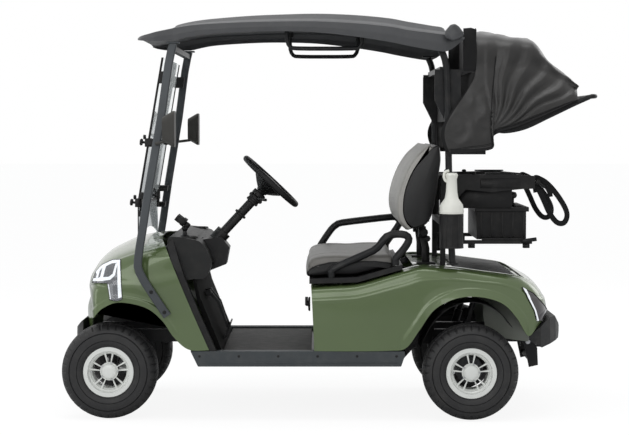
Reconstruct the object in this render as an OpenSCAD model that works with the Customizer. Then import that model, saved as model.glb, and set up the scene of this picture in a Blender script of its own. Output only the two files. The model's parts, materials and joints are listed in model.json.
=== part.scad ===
// Two-seat electric golf cart. +X is forward, +Y is the driver's side, +Z is up.
// The origin lies on the ground under the middle of the cart.

/* [Chassis] */
// Distance between the axles
wheelbase = 1700; // [1650:10:1760]
// Front axle ahead of the origin
front_axle_x = 1038; // [1030:1:1046]
// Width between the front tyres' middle planes
track_front = 880; // [870:2:900]
// Width between the rear tyres' middle planes
track_rear = 980; // [970:2:990]
// Height of the floor pan's underside
floor_z = 300; // [296:1:304]
// Thickness of the floor pan
floor_t = 8; // [6:1:10]
// Thickness of the rubber floor mat
mat_t = 12; // [8:1:14]
// Width of a frame rail
rail_w = 40; // [30:1:44]
// Height of a frame rail
rail_h = 60; // [50:1:66]
// Middle of a frame rail from the centre plane
rail_y = 165; // [155:1:170]
// How far the rails rise over the axles
rail_kick = 90; // [84:1:96]
// Radius of the tow pin's hole
tow_hole_r = 8.5; // [6:0.5:10]

/* [Wheels] */
// Outer diameter of a tyre
tyre_d = 452; // [440:1:458]
// Width of a tyre
tyre_w = 205; // [190:1:210]
// Diameter of the bead seat
bead_d = 208; // [200:1:214]
// Depth of the tread grooves
groove_deep = 6; // [3:0.5:8]
// Diameter of the rim's flanges
flange_d = 236; // [228:1:240]
// Width of the rim
rim_w = 182; // [170:1:186]
// Thickness of the rim's face
face_t = 12; // [9:1:14]
// Pairs of spokes
spoke_pairs = 5; // [4:1:6]
// Diameter of the round cap in the middle of a wheel
cap_d = 70; // [64:1:80]
// Diameter of a wheel spindle
spindle_d = 30; // [24:1:34]

/* [Steering] */
// Kingpin's distance from the centre plane
kingpin_y = 318; // [312:1:322]
// Diameter of a kingpin
kingpin_d = 24; // [18:1:26]
// Height of the knuckle's boss
knuckle_h = 76; // [66:1:80]
// Length of the steering arms
steer_arm = 110; // [100:1:118]
// Diameter of the steering wheel
wheel_d = 350; // [330:2:370]
// Thickness of the steering wheel's grip
grip_d = 29; // [24:1:34]
// Slope of the steering column from level
column_angle = 47; // [44:0.5:50]
// Diameter of the column tube
column_d = 44; // [38:1:50]

/* [Body] */
// Width of the body
body_w = 1150; // [1130:2:1160]
// Thickness of the moulded body panels
panel_t = 6; // [4:0.5:7]
// Height of a sill
sill_h = 72; // [60:1:76]
// Depth of a sill across the cart
sill_d = 60; // [50:1:66]
// Radius of the dash cup holders
cup_r = 38; // [34:1:42]
// Depth of the dash cup holders
cup_deep = 60; // [50:1:64]

/* [Canopy] */
// Height of the roof's crown
roof_top = 1920; // [1900:2:1940]
// Width of the roof
roof_w = 1176; // [1160:2:1190]
// Thickness of the roof skin
roof_t = 12; // [8:1:14]
// Width of a front strut across the cart
strut_w = 25; // [20:1:28]
// Depth of a front strut along the cart
strut_deep = 38; // [32:1:42]
// Diameter of a rear strut
rear_strut_d = 32; // [26:1:34]
// Rear struts' distance from the centre plane
rear_strut_y = 500; // [490:1:506]
// Thickness of the windshield
glass_t = 5; // [4:0.5:6]
// Width of the windshield
glass_w = 1040; // [1000:5:1060]

/* [Seat] */
// Width of the seat cushion
seat_w = 984; // [960:2:990]
// Width of the backrest
back_w = 950; // [920:2:956]
// Diameter of the arm tubes
arm_d = 36; // [32:1:38]
// Gap between the seat cushion and the arm tubes
arm_gap = 8; // [6:1:12]
// Diameter of the seat's hinge pins
hinge_d = 10; // [8:1:12]

/* [Rack and cover] */
// Diameter of the sand bottle's wide base
bottle_d = 112; // [100:1:114]
// Height of the sand bottle's shoulder above its holder
bottle_h = 190; // [180:2:200]
// Width of the storage box
box_w = 520; // [480:5:560]
// Wall of the storage box
box_wall = 5; // [4:0.5:8]
// Thickness of the bag cover's fabric
fabric_t = 4; // [3:0.5:5]
// Half width of the cover's lower bow
bow_y = 494; // [492:1:498]
// Diameter of the bow tube
bow_d = 20; // [16:1:22]

/* [Hidden] */
$fn = 48;

// Clearances: a seat that touches, a turning fit and a gap between moving pieces
seat_gap = 0.3;
run_gap = 0.05;
// Width at which the body's section tables are drawn
drawn_w = 1150;
wide = body_w / drawn_w;
body_side = body_w / 2;
rear_axle_x = front_axle_x - wheelbase;
hub_z = tyre_d / 2;
floor_top = floor_z + floor_t;
mat_top = floor_top + mat_t;
front_y = track_front / 2;
rear_y = track_rear / 2;
sill_y = body_side - sill_d - 3;
arm_y = seat_w / 2 + arm_gap + arm_d / 2;
sill_top = floor_z + 29 + seat_gap;

// Points given from the front axle (f) and from the rear axle (r), along X and up
function f(x) = front_axle_x + x;
function r(x) = rear_axle_x + x;
function pf(list) = [for (p = list) [f(p[0]), p[1]]];
function pr(list) = [for (p = list) [r(p[0]), p[1]]];
function unit(v) = v / norm(v);
// A smooth curve through the points of a list, n steps between each two
function curve_at(a, b, c, d, t) =
    0.5 * (2 * b + (c - a) * t + (2 * a - 5 * b + 4 * c - d) * t * t
    + (3 * b - a - 3 * c + d) * t * t * t);
function spline(p, n = 3) = let (m = len(p) - 1)
    [for (i = [0 : m - 1]) for (k = [0 : n - 1])
        curve_at(p[max(i - 1, 0)], p[i], p[i + 1], p[min(i + 2, m)], k / n), p[m]];
function closed_spline(p, n = 3) = let (m = len(p))
    [for (i = [0 : m - 1]) for (k = [0 : n - 1])
        curve_at(p[(i + m - 1) % m], p[i], p[(i + 1) % m], p[(i + 2) % m], k / n)];
function mirrored(half) =
    concat([for (q = half) [q[0], -q[1], q[2]]], [for (i = [len(half) - 2 : -1 : 0]) half[i]]);
// A grid of points smoothed both ways
function smooth_grid(g, nr, nc) = let (cols = len(g[0]),
    lines = [for (j = [0 : cols - 1]) spline([for (row = g) row[j]], nr)])
    [for (i = [0 : len(lines[0]) - 1]) spline([for (j = [0 : cols - 1]) lines[j][i]], nc)];
function grid_normal(g, i, j) = let (n = len(g) - 1, m = len(g[0]) - 1)
    unit(cross(g[min(i + 1, n)][j] - g[max(i - 1, 0)][j],
        g[i][min(j + 1, m)] - g[i][max(j - 1, 0)]));
function offset_grid(g, d) =
    [for (i = [0 : len(g) - 1]) [for (j = [0 : len(g[0]) - 1]) g[i][j] + d * grid_normal(g, i, j)]];

// A shell between two grids of points, closed round its four edges
module shell(outer, inner) {
    n = len(outer);
    m = len(outer[0]);
    k = n * m;
    points = concat([for (row = outer) for (p = row) p], [for (row = inner) for (p = row) p]);
    skin = [for (i = [0 : n - 2]) for (j = [0 : m - 2]) let (a = i * m + j, b = a + 1, d = a + m, c = d + 1)
        each [[a, b, c], [a, c, d], [k + a, k + c, k + b], [k + a, k + d, k + c]]];
    sides = [for (i = [0 : n - 2]) let (a = i * m, d = a + m, b = a + m - 1, c = b + m)
        each [[a, d, k + d], [a, k + d, k + a], [c, b, k + b], [c, k + b, k + c]]];
    ends = [for (j = [0 : m - 2]) let (a = j, b = j + 1, d = (n - 1) * m + j, c = d + 1)
        each [[b, a, k + a], [b, k + a, k + b], [d, c, k + c], [d, k + c, k + d]]];
    polyhedron(points, concat(skin, sides, ends));
}

// A solid through closed rings of points
module loft(rings) {
    n = len(rings);
    m = len(rings[0]);
    walls = [for (i = [0 : n - 2]) for (j = [0 : m - 1])
        let (a = i * m + j, b = i * m + (j + 1) % m, c = b + m, d = a + m)
        each [[a, c, b], [a, d, c]]];
    caps = [[for (j = [0 : m - 1]) j], [for (j = [m - 1 : -1 : 0]) (n - 1) * m + j]];
    polyhedron([for (ring = rings) for (p = ring) p], concat(walls, caps));
}

// A bar of the given section along a path
function tangent(p, i) = let (n = len(p) - 1)
    unit((i < n ? unit(p[i + 1] - p[i]) : [0, 0, 0]) + (i > 0 ? unit(p[i] - p[i - 1]) : [0, 0, 0]));
function across(t) = abs(t[1]) < 0.9 ? unit(cross(t, [0, 1, 0])) : unit(cross(t, [0, 0, 1]));
function carried(n, t) = unit(n - (n * t) * t);
module sweep(path, section) {
    last = len(path) - 1;
    normals = [for (i = 0, n = across(tangent(path, 0)); i <= last;
        i = i + 1, n = i <= last ? carried(n, tangent(path, i)) : n) n];
    loft([for (i = [0 : last]) let (t = tangent(path, i), u = normals[i], v = cross(t, u))
        [for (s = section) path[i] + s[0] * u + s[1] * v]]);
}
function round_section(d, sides = 10) = [for (k = [0 : sides - 1]) d / 2 * [cos(k * 360 / sides),
    sin(k * 360 / sides)]];
function box_section(a, b, c) = [[a / 2, c - b / 2], [a / 2, b / 2 - c], [a / 2 - c, b / 2],
    [c - a / 2, b / 2], [-a / 2, b / 2 - c], [-a / 2, c - b / 2], [c - a / 2, -b / 2], [a / 2 - c, -b / 2]];
module tube(path, d, sides = 10) sweep(path, round_section(d, sides));

// A side-view outline made into a slab from y0 to y1
module slab(y0, y1) rotate([90, 0, 0]) translate([0, 0, -y1]) linear_extrude(y1 - y0) children();
module both() {
    children();
    mirror([0, 1, 0]) children();
}
module box(x0, x1, y0, y1, z0, z1) translate([x0, y0, z0]) cube([x1 - x0, y1 - y0, z1 - z0]);
module rod_y(x, z, y0, y1, d) translate([x, y0, z]) rotate([-90, 0, 0]) cylinder(h = y1 - y0, d = d);
module rod_z(x, y, z0, z1, d) translate([x, y, z0]) cylinder(h = z1 - z0, d = d);

// WHEELS

// Half of the tyre's section, from the bead out: radius and distance from the middle plane
half_w = tyre_w / 2;
bead_r = bead_d / 2;
tread_r = tyre_d / 2;
flange_r = flange_d / 2;
rim_half = rim_w / 2;
lip_t = 4;
bead_y = rim_half - lip_t - seat_gap;
function tyre_half() = [[bead_r + seat_gap, bead_y], [flange_r, bead_y],
    [flange_r + 4, half_w - 8], [flange_r + 26, half_w], [tread_r - 40, half_w - 2],
    [tread_r - 22, half_w - 9], [tread_r - 10, half_w - 19], [tread_r - 3, half_w - 34],
    [tread_r, half_w - 52]];
groove_w = 9;
groove_pitch = 30;
module tyre_shape() rotate([90, 0, 0]) difference() {
    rotate_extrude($fn = 96) polygon(concat(tyre_half(),
        [for (i = [len(tyre_half()) - 1 : -1 : 0]) [tyre_half()[i][0], -tyre_half()[i][1]]]));
    for (s = [-1.5 : 1 : 1.5])
        translate([0, 0, s * groove_pitch - groove_w / 2]) difference() {
            cylinder(r = tread_r + 2, h = groove_w, $fn = 96);
            translate([0, 0, -1]) cylinder(r = tread_r - groove_deep, h = groove_w + 2, $fn = 96);
        }
}

// The rim: barrel, dished face with pairs of slim spokes, hub and cap. Its face looks along +Y.
face_y = 62;
hub_in = 20;
window_in = cap_d / 2 + 8;
dish_r = bead_r - 14;
window_out = dish_r - 2;
wall = 5;
module window(half_angle) intersection() {
    difference() {
        circle(r = window_out);
        circle(r = window_in);
    }
    polygon([[0, 0], for (a = [-1 : 1]) 2 * window_out * [cos(a * half_angle), sin(a * half_angle)]]);
}
module rim_shape() rotate([-90, 0, 0]) difference() {
    union() {
        rotate_extrude($fn = 96) polygon([[flange_r, rim_half], [flange_r, rim_half - lip_t],
            [bead_r, rim_half - lip_t], [bead_r - 2, 60], [bead_r - 18, 42], [bead_r - 18, -30],
            [bead_r - 2, -50], [bead_r, lip_t - rim_half], [flange_r, lip_t - rim_half],
            [flange_r, -rim_half], [bead_r - 6, -rim_half], [bead_r - 7, -50],
            [bead_r - 18 - wall, -32], [bead_r - 18 - wall, 44], [bead_r - 9, 62],
            [bead_r - 5, rim_half]]);
        rotate_extrude($fn = 96) polygon([[0, -hub_in], [spindle_d / 2 + 14, -hub_in],
            [spindle_d / 2 + 20, face_y - face_t], [dish_r, face_y - face_t + 4],
            [bead_r - 7, face_y - face_t + 2], [bead_r - 7, face_y + 6], [dish_r, face_y],
            [cap_d / 2 + 3, face_y - 4], [cap_d / 2, face_y], [cap_d / 2, face_y + 6],
            [cap_d / 2 - 5, face_y + 10], [0, face_y + 10]]);
    }
    translate([0, 0, -hub_in - 1]) cylinder(d = spindle_d + 2 * run_gap, h = hub_in + 41);
    for (i = [0 : spoke_pairs - 1]) rotate(i * 360 / spoke_pairs + 90) {
        translate([0, 0, face_y - face_t - 3]) linear_extrude(face_t + 12) window(21);
        rotate(180 / spoke_pairs) translate([0, 0, face_y - face_t - 3])
            linear_extrude(face_t + 12) window(9);
    }
}
module wheel_place(front, side)
    translate([front ? front_axle_x : rear_axle_x, side * (front ? front_y : rear_y), hub_z])
        mirror([0, side > 0 ? 0 : 1, 0]) children();
module tyre(front, side) color("#232425") wheel_place(front, side) tyre_shape();
module rim(front, side) color("#d9dbdc") wheel_place(front, side) rim_shape();
module tyre_front_left() tyre(true, 1);
module rim_front_left() rim(true, 1);
module tyre_front_right() tyre(true, -1);
module rim_front_right() rim(true, -1);
module tyre_rear_left() tyre(false, 1);
module rim_rear_left() rim(false, 1);
module tyre_rear_right() tyre(false, -1);
module rim_rear_right() rim(false, -1);

// AXLES AND STEERING

beam_d = 46;
yoke_t = 12;
yoke_gap = knuckle_h / 2 + seat_gap;
spring_w = 46;
rail_low = floor_z - rail_h;
rail_high = rail_low + rail_kick;
// A leaf spring: an arc between two eyes, its middle on the axle
module leaf(span, sag, top, t) {
    line = [for (i = [-6 : 6]) [i * span / 12, top - sag * (1 - pow(i / 6, 2))]];
    polygon(concat(line, [for (i = [12 : -1 : 0]) line[i] - [0, t]]));
}
module spring(x, y, axle_d, half) {
    top = rail_high - 14;
    sag = top - t_leaf() - hub_z - axle_d / 2;
    slab(y - spring_w / 2, y + spring_w / 2) translate([x, 0]) leaf(2 * half, sag, top, t_leaf());
    slab(y - spring_w / 2, y + spring_w / 2) translate([x, 0])
        leaf(half, sag * 0.25, top - t_leaf() - sag * 0.75, 0.1 + t_leaf() / 2);
    for (s = [-1, 1]) {
        rod_y(x + s * half, top - 4, y - spring_w / 2, y + spring_w / 2, 24);
        box(x + s * half - 14, x + s * half + 14, y - rail_w / 2, y + rail_w / 2, top, rail_high - seat_gap);
    }
}
function t_leaf() = 14;
module front_axle() color("#2b2d2e") {
    rod_y(front_axle_x, hub_z, -kingpin_y + 36, kingpin_y - 36, beam_d);
    both() {
        box(f(-24), f(24), kingpin_y - 46, kingpin_y - 34, hub_z - yoke_gap - yoke_t,
            hub_z + yoke_gap + yoke_t);
        for (z = [hub_z - yoke_gap - yoke_t, hub_z + yoke_gap]) {
            box(f(-24), f(24), kingpin_y - 40, kingpin_y, z, z + yoke_t);
            rod_z(front_axle_x, kingpin_y, z, z + yoke_t, 48);
        }
        rod_z(front_axle_x, kingpin_y, hub_z - yoke_gap - yoke_t - 4, hub_z + yoke_gap + yoke_t + 4,
            kingpin_d);
        spring(front_axle_x, rail_y, beam_d, 96);
    }
}

arm_t = 12;
pin_d = 10;
rod_z0 = hub_z - 52;
slot_play = 15;
slot_w = pin_d + 6;
module knuckle_shape() {
    difference() {
        union() {
            rod_z(front_axle_x, kingpin_y, hub_z - knuckle_h / 2, hub_z + knuckle_h / 2, 44);
            rod_y(front_axle_x, hub_z, kingpin_y + 10, front_y + 36, spindle_d);
            rod_y(front_axle_x, hub_z, kingpin_y + 10, front_y - hub_in - seat_gap, 60);
            box(f(-steer_arm), f(0), kingpin_y - 12, kingpin_y + 12, rod_z0 + 16, rod_z0 + 16 + arm_t);
            rod_z(f(-steer_arm), kingpin_y, rod_z0 + 16, rod_z0 + 16 + arm_t, 24);
        }
        rod_z(front_axle_x, kingpin_y, hub_z - knuckle_h, hub_z + knuckle_h, kingpin_d + 2 * run_gap);
    }
    rod_z(f(-steer_arm), kingpin_y, rod_z0 - 6, rod_z0 + 18, pin_d);
    rod_z(f(-steer_arm), kingpin_y, rod_z0 - 5, rod_z0 - seat_gap, slot_w + 6);
}
module knuckle_left() color("#3a3c3e") knuckle_shape();
module knuckle_right() color("#3a3c3e") mirror([0, 1, 0]) knuckle_shape();

// The tie rod's eyes are slots, so the arms' pins can follow their arcs
eye_t = 10;
module tie_rod() color("#4a4c4e") {
    rod_y(f(-steer_arm), rod_z0 + eye_t / 2, slot_w / 2 + 3 - kingpin_y, kingpin_y - slot_w / 2 - 3,
        eye_t - 0.5);
    both() difference() {
        union() {
            for (x = [0, slot_play]) rod_z(f(-steer_arm) + x, kingpin_y, rod_z0, rod_z0 + eye_t, slot_w + 12);
            box(f(-steer_arm), f(-steer_arm) + slot_play, kingpin_y - slot_w / 2 - 6,
                kingpin_y + slot_w / 2 + 6,
                rod_z0, rod_z0 + eye_t);
        }
        for (x = [0, slot_play]) rod_z(f(-steer_arm) + x, kingpin_y, rod_z0 - 1, rod_z0 + eye_t + 1, slot_w);
        box(f(-steer_arm), f(-steer_arm) + slot_play, kingpin_y - slot_w / 2, kingpin_y + slot_w / 2,
            rod_z0 - 1, rod_z0 + eye_t + 1);
    }
}

rear_tube_d = 64;
module rear_axle() color("#2b2d2e") {
    rod_y(rear_axle_x, hub_z, -rear_y + 80, rear_y - 80, rear_tube_d);
    rod_y(rear_axle_x, hub_z, -70, 60, 150);
    both() {
        rod_y(rear_axle_x, hub_z, rear_y - 84, rear_y - 40, 130);
        rod_y(rear_axle_x, hub_z, rear_y - 44, rear_y - hub_in - seat_gap, 60);
        rod_y(rear_axle_x, hub_z, rear_y - hub_in - 4, rear_y + 36, spindle_d);
        spring(rear_axle_x, rail_y + 60, rear_tube_d, 172);
    }
}
motor_d = 170;
module drive_motor() color("#1e1f20") difference() {
    translate([r(-150), 0, hub_z + 10]) rotate([-90, 0, 0]) union() {
        translate([0, 0, -40]) cylinder(d = motor_d, h = 150);
        translate([0, 0, 110]) cylinder(d = motor_d * 0.7, h = 24);
        translate([0, 0, -60]) cylinder(d = motor_d * 0.8, h = 20);
    }
    rod_y(rear_axle_x, hub_z, -71, 61, 150 + 2 * seat_gap);
    rod_y(rear_axle_x, hub_z, -300, 300, rear_tube_d + 2 * seat_gap);
}

// FRAME AND FLOOR

tow_z = 286;
tow_t = 8;
tow_gap = 20;
battery_x0 = r(320);
battery_x1 = r(700);
battery_y = 230;
battery_h = 250;
rail_front = f(113) - seat_gap;
rail_rear = r(-320);
kick_f0 = f(-420);
kick_f1 = f(-330);
kick_r0 = r(230);
kick_r1 = r(320);
module rail_outline() polygon([[rail_front, rail_high], [rail_front, rail_high + rail_h],
    [kick_f1, rail_high + rail_h], [kick_f0, floor_z], [kick_r1, floor_z], [kick_r0, rail_high + rail_h],
    [rail_rear, rail_high + rail_h], [rail_rear, rail_high], [kick_r0 - 8, rail_high],
    [kick_r1 - 16, rail_low], [kick_f0 + 16, rail_low], [kick_f1 + 8, rail_high]]);
pan_x1 = f(-440);
module chassis_frame() color("#26282a") difference() {
    union() {
        both() {
            slab(rail_y - rail_w / 2, rail_y + rail_w / 2) rail_outline();
            for (x = [f(-500), r(420)])
                box(x, x + 40, rail_y, sill_y + sill_d - 14 - seat_gap, floor_z - 34, floor_z);
            box(r(-200), r(-160), rail_y, rail_y + 60 + rail_w / 2, rail_high, rail_high + 40);
            box(r(160), r(200), rail_y, rail_y + 60 + rail_w / 2, rail_high, rail_high + 40);
            box(r(-200), r(200), rail_y + 60 - rail_w / 2, rail_y + 60 + rail_w / 2, rail_high,
                rail_high + 20);
        }
        for (x = [f(60), f(-380), r(260), r(-310)])
            box(x, x + 40, -rail_y, rail_y, rail_high + 6, rail_high + 46);
        box(battery_x0 - 20, pan_x1, -sill_y, sill_y, floor_z, floor_top);
        both() slab(rail_y + rail_w / 2 - 2, rail_y + rail_w / 2 + 8) polygon(pr([[-276, rail_high + 12],
            [-330, rail_high + 12], [-352, rail_high - 30], [-356, hub_z - 10], [-312, hub_z - 20], [-292,
            rail_high - 30]]));
        both() box(r(bumper_seat_x) + seat_gap, r(-300), rail_y, rail_y + 14, rail_high + 50, rail_high + 60);
        for (z = [0, tow_gap + tow_t])
            box(r(-400), r(-290), -30, 30, tow_z + z, tow_z + z + tow_t);
        box(r(-310), r(-290), -30, 30, tow_z, rail_high + 30);
        rod_y(r(-328), hub_z + 10, -rail_y - 26, rail_y + 26, 26);
    }
    rod_z(r(-380), 0, tow_z - 1, tow_z + 2 * tow_t + tow_gap + 1, 2 * tow_hole_r);
}
module battery_pack() color("#17181a")
    box(battery_x0, battery_x1, -battery_y, battery_y, floor_top, floor_top + battery_h);
mat_back = r(748);
module floor_mat() color("#1d1e1f")
    box(mat_back, f(-538), -sill_y + 8, sill_y - 8, floor_top, mat_top);
module sills() color("#3e4448") both() difference() {
    slab(sill_y, sill_y + sill_d) polygon([[f(-388), floor_z + 29], [f(-423), floor_z + 29 - sill_h],
        [r(328), floor_z + 29 - sill_h], [r(310), floor_z + 29 - 20], [r(310), floor_z + 25], [r(314),
        floor_z + 29]]);
    slab(sill_y - 1, sill_y + sill_d - 14) polygon([[f(-430), floor_z], [f(-450), floor_z + 29 - sill_h + 8],
        [r(340), floor_z + 29 - sill_h + 8], [r(340), floor_z]]);
}

// FRONT BODY

// Sections of the cowl from its rear edge over the crown and down the nose. Each is a row from
// the lower edge of the left side to the middle: distance from the front axle, out, up.
cowl_rows = [
    [[-475, 570, 334], [-398, 571, 510], [-323, 570, 690], [-270, 535, 818], [-238, 300, 846], [-228, 0,
    858]],
    [[-380, 572, 337], [-333, 572, 500], [-263, 570, 680], [-208, 530, 800], [-173, 300, 838], [-158, 0,
    850]],
    [[-310, 573, 396], [-273, 573, 520], [-203, 570, 670], [-148, 525, 785], [-103, 300, 820], [-88, 0, 834]],
    [[-255, 574, 476], [-218, 574, 560], [-153, 566, 670], [-93, 520, 768], [-38, 300, 795], [-8, 0, 797]],
    [[-177, 574, 535], [-148, 574, 590], [-103, 566, 665], [-43, 512, 750], [17, 300, 768], [42, 0, 768]],
    [[-55, 574, 558], [-48, 572, 600], [-28, 560, 665], [17, 500, 730], [62, 290, 735], [84, 0, 724]],
    [[22, 570, 528], [22, 562, 585], [30, 545, 650], [57, 480, 695], [92, 280, 690], [110, 0, 680]],
    [[61, 555, 486], [67, 540, 560], [74, 510, 620], [90, 440, 650], [114, 260, 645], [130, 0, 642]],
    [[77, 470, 482], [87, 440, 540], [97, 400, 580], [107, 340, 600], [126, 200, 600], [142, 0, 597]],
    [[87, 380, 474], [92, 350, 508], [100, 310, 545], [110, 260, 560], [124, 150, 563], [136, 0, 562]],
    [[100, 290, 458], [112, 262, 475], [122, 230, 490], [132, 180, 496], [146, 100, 496], [153, 0, 496]],
    [[112, 234, 412], [120, 212, 415], [130, 180, 417], [138, 130, 417], [148, 70, 417], [153, 0, 417]],
    [[112, 226, 385], [120, 205, 383], [128, 172, 382], [134, 125, 382], [141, 68, 382], [144, 0, 382]]];
function placed(rows, x0) =
    [for (row = rows) mirrored([for (p = row) [x0 + p[0], p[1] * wide, p[2]]])];
cowl_grid = smooth_grid(placed(cowl_rows, front_axle_x), 2, 2);
module lamp_outline() polygon(pf([[76, 645], [61, 693], [31, 726], [-18, 749], [-60, 754],
    [-72, 573], [-45, 564], [-14, 571], [-2, 647]]));
lamp_in = 380;
lamp_gap = 0.5;
module front_cowl() color("#65724f") difference() {
    shell(cowl_grid, offset_grid(cowl_grid, -panel_t));
    both() slab(lamp_in, body_side + 30) offset(delta = lamp_gap) lamp_outline();
}
module headlamps() color("#dfe3e6") intersection() {
    shell(offset_grid(cowl_grid, 3), offset_grid(cowl_grid, -30));
    both() slab(lamp_in + lamp_gap, body_side + 20) lamp_outline();
}

// Black strips that close the cowl's rear edges, and the liners over the front wheels
strip_in = [[-276, 822], [-302, 737], [-322, 700], [-310, 692], [-349, 609], [-420, 431], [-467, sill_top]];
strip_out = [[-509, sill_top], [-423, 523], [-359, 680], [-302, 857]];
strip_y = sill_y + 2 + seat_gap;
// How far out the strips' face lies at each height
strip_face = [[563.2, sill_top], [563.2, 695], [560, 765], [548, 792], [528, 820], [strip_y, 850]];
arch_line = [[-392, sill_top], [-316, 404], [-262, 486], [-180, 547], [-55, 570], [24, 540], [58, 500]];
liner_in = 236;
liner_t = 4;
module cowl_trim() color("#1c1d1e") both() {
    intersection() {
        slab(strip_y, body_side) polygon(pf(concat(strip_in, strip_out)));
        translate([f(-520), 0, 0]) rotate([90, 0, 90]) linear_extrude(300)
            polygon(concat([[strip_y, sill_top]], strip_face));
    }
    slab(liner_in, body_side - 34) {
        line = spline(arch_line, 3);
        polygon(pf(concat([for (p = line) p + [0, liner_t]], [for (i = [len(line) - 1 : -1 : 0]) line[i]])));
    }
    slab(body_side - 46, body_side - 34) polygon(pf([[-392, sill_top], [-392, 420], [-430, 431], [-477,
        sill_top]]));
}
toe_top = 660.6;
module toe_board() color("#222325") {
    slab(-sill_y, sill_y) polygon(pf([[-533, mat_top + 2], [-520, floor_top], [-505, floor_top],
        [-416, 560], [-396, toe_top], [-409, toe_top], [-429, 581]]));
}

// The dash: one moulding with open bins, cup holders and a hood over the column
cup_x = f(-370);
cup_y = 420;
dash_top = 852;
module dash_outline() polygon(spline(pf([[-244, 800], [-274, 808], [-280, 850], [-302, 862], [-400, 848],
    [-444, 826], [-478, 760],
    [-480, 718], [-452, 664], [-400, 662], [-362, 657], [-320, 692], [-262, 770]]), 2));
module dashboard() color("#232426") {
    difference() {
        slab(-sill_y - 2, sill_y + 2) dash_outline();
        for (y = [[-460, -240], [-200, 60]])
            slab(y[0], y[1]) polygon(pf([[-520, 722], [-520, 800], [-392, 812], [-380, 722]]));
        both() rod_z(cup_x, cup_y, dash_top - cup_deep, dash_top + 40, 2 * cup_r);
        translate([0, column_y, 0]) box(f(-520), f(-424) + seat_gap, -66 - seat_gap, 66 + seat_gap, 620, 900);
    }
}
column_y = 270;
wheel_x = f(-757);
wheel_z = 1114;
// Places its children on the steering wheel's axis, with +Z up the column
module on_column() translate([wheel_x, column_y, wheel_z]) rotate([0, column_angle - 90, 0]) children();
shaft_d = 24;
column_gap = 60;
column_len = 330;
module steering_column() color("#1b1c1d") {
    difference() {
        on_column() translate([0, 0, -column_gap - column_len]) union() {
            cylinder(d = column_d, h = column_len);
            cylinder(d = column_d + 30, h = 60);
            translate([0, 0, column_len - 66]) cylinder(d = column_d + 16, h = 26);
        }
        on_column() translate([0, 0, -column_gap - 120])
            cylinder(d = shaft_d + 2 * run_gap, h = 130);
    }
    difference() {
        translate([0, column_y, 0]) slab(-66, 66) polygon(pf([[-470, 690], [-424, 672], [-424, 836],
            [-520, 852], [-560, 800], [-545, 720]]));
        on_column() translate([0, 0, -column_gap - column_len - 200])
            cylinder(d = column_d + 30 + 2 * seat_gap, h = column_len + 200);
    }
    on_column() translate([0, 0, -column_gap - 53]) rotate([-74, 0, 20])
        translate([0, 0, 20]) cylinder(d = 14, h = 110);
}
module steering_wheel() color("#141516") on_column() {
    rotate_extrude($fn = 96) translate([wheel_d / 2 - grip_d / 2, 0]) circle(d = grip_d, $fn = 32);
    translate([0, 0, -40]) cylinder(d1 = 60, d2 = 104, h = 36);
    translate([0, 0, -4]) cylinder(d = 104, h = 12);
    translate([0, 0, -column_gap + seat_gap]) cylinder(d = 56, h = column_gap - 30);
    translate([0, 0, -column_gap - 110]) cylinder(d = shaft_d, h = 120);
    for (a = [0, 120, 240]) rotate(a + 90)
        translate([40, -14, -6]) cube([wheel_d / 2 - 50, 28, 9]);
}
pedal_y = [90, 190];
module pedals() color("#202122") for (y = pedal_y) {
    slab(y - 6, y + 6) polygon(pf([[-460, 582], [-446, 572], [-494, 520], [-539, 400], [-551, 402], [-508,
        526]]));
    translate([f(-540), y, 385]) rotate([0, -20, 0]) translate([-8, -38, -36]) cube([8, 76, 84]);
    slab(y - 14, y + 14) polygon(pf([[-468, 556], [-439.9, 556], [-431.1, 578], [-462, 586]]));
}

// A low bumper, rounded in plan, ahead of the frame's front ends
bumper_w = 430;
bumper_back = 113;
module front_bumper() color("#1c1d1e") intersection() {
    slab(-bumper_w / 2, bumper_w / 2) difference() {
        polygon(pf([[156, 440], [168, 431], [200, 396], [207, 345], [186, 300], [bumper_back, 300],
            [bumper_back, 374], [156, 374]]));
        polygon(pf([[bumper_back - 1, 364], [bumper_back - 1, 310], [178, 310], [193, 345], [184, 364]]));
    }
    translate([0, 0, 290]) linear_extrude(170) polygon(concat([[f(100), -bumper_w / 2]],
        [for (i = [-6 : 6]) [f(208 - 52 * pow(abs(i) / 6, 2.5)), i * bumper_w / 12]], [[f(100),
        bumper_w / 2]]));
}

// CANOPY

strut_foot_y = body_side + strut_w / 2 + 5;
strut_seat_y = body_side - 0.9;
front_strut_path = [for (p = spline([[-283, 497, 0], [-208, 609, 0], [-155, 700, 0], [-148, 760, 0],
    [-168, 891, 0.08], [-197, 1084, 0.3], [-255, 1424, 0.65], [-288, 1661, 0.92], [-310, 1765, 1]], 2))
    [f(p[0]), strut_foot_y - p[2] * 62, p[1]]];
strut_top = front_strut_path[len(front_strut_path) - 1];
function strut_x(z) = lookup(z, [for (p = front_strut_path) [p[2], p[0]]]);
function strut_in(z) = lookup(z, [for (p = front_strut_path) [p[2], p[1]]]) - strut_w / 2;
module front_struts() color("#47494b") both() {
    sweep(front_strut_path, box_section(strut_deep, strut_w, 4));
    for (i = [1, 2]) let (p = front_strut_path[i == 1 ? 0 : 2])
        rod_y(p[0] + (i == 1 ? 6 : 0), p[2] + (i == 1 ? 12 : 0), strut_seat_y, p[1], 22);
    translate([strut_top[0] - 30, strut_top[1] - 22, strut_top[2] - 2]) cube([60, 44, 8]);
}

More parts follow.
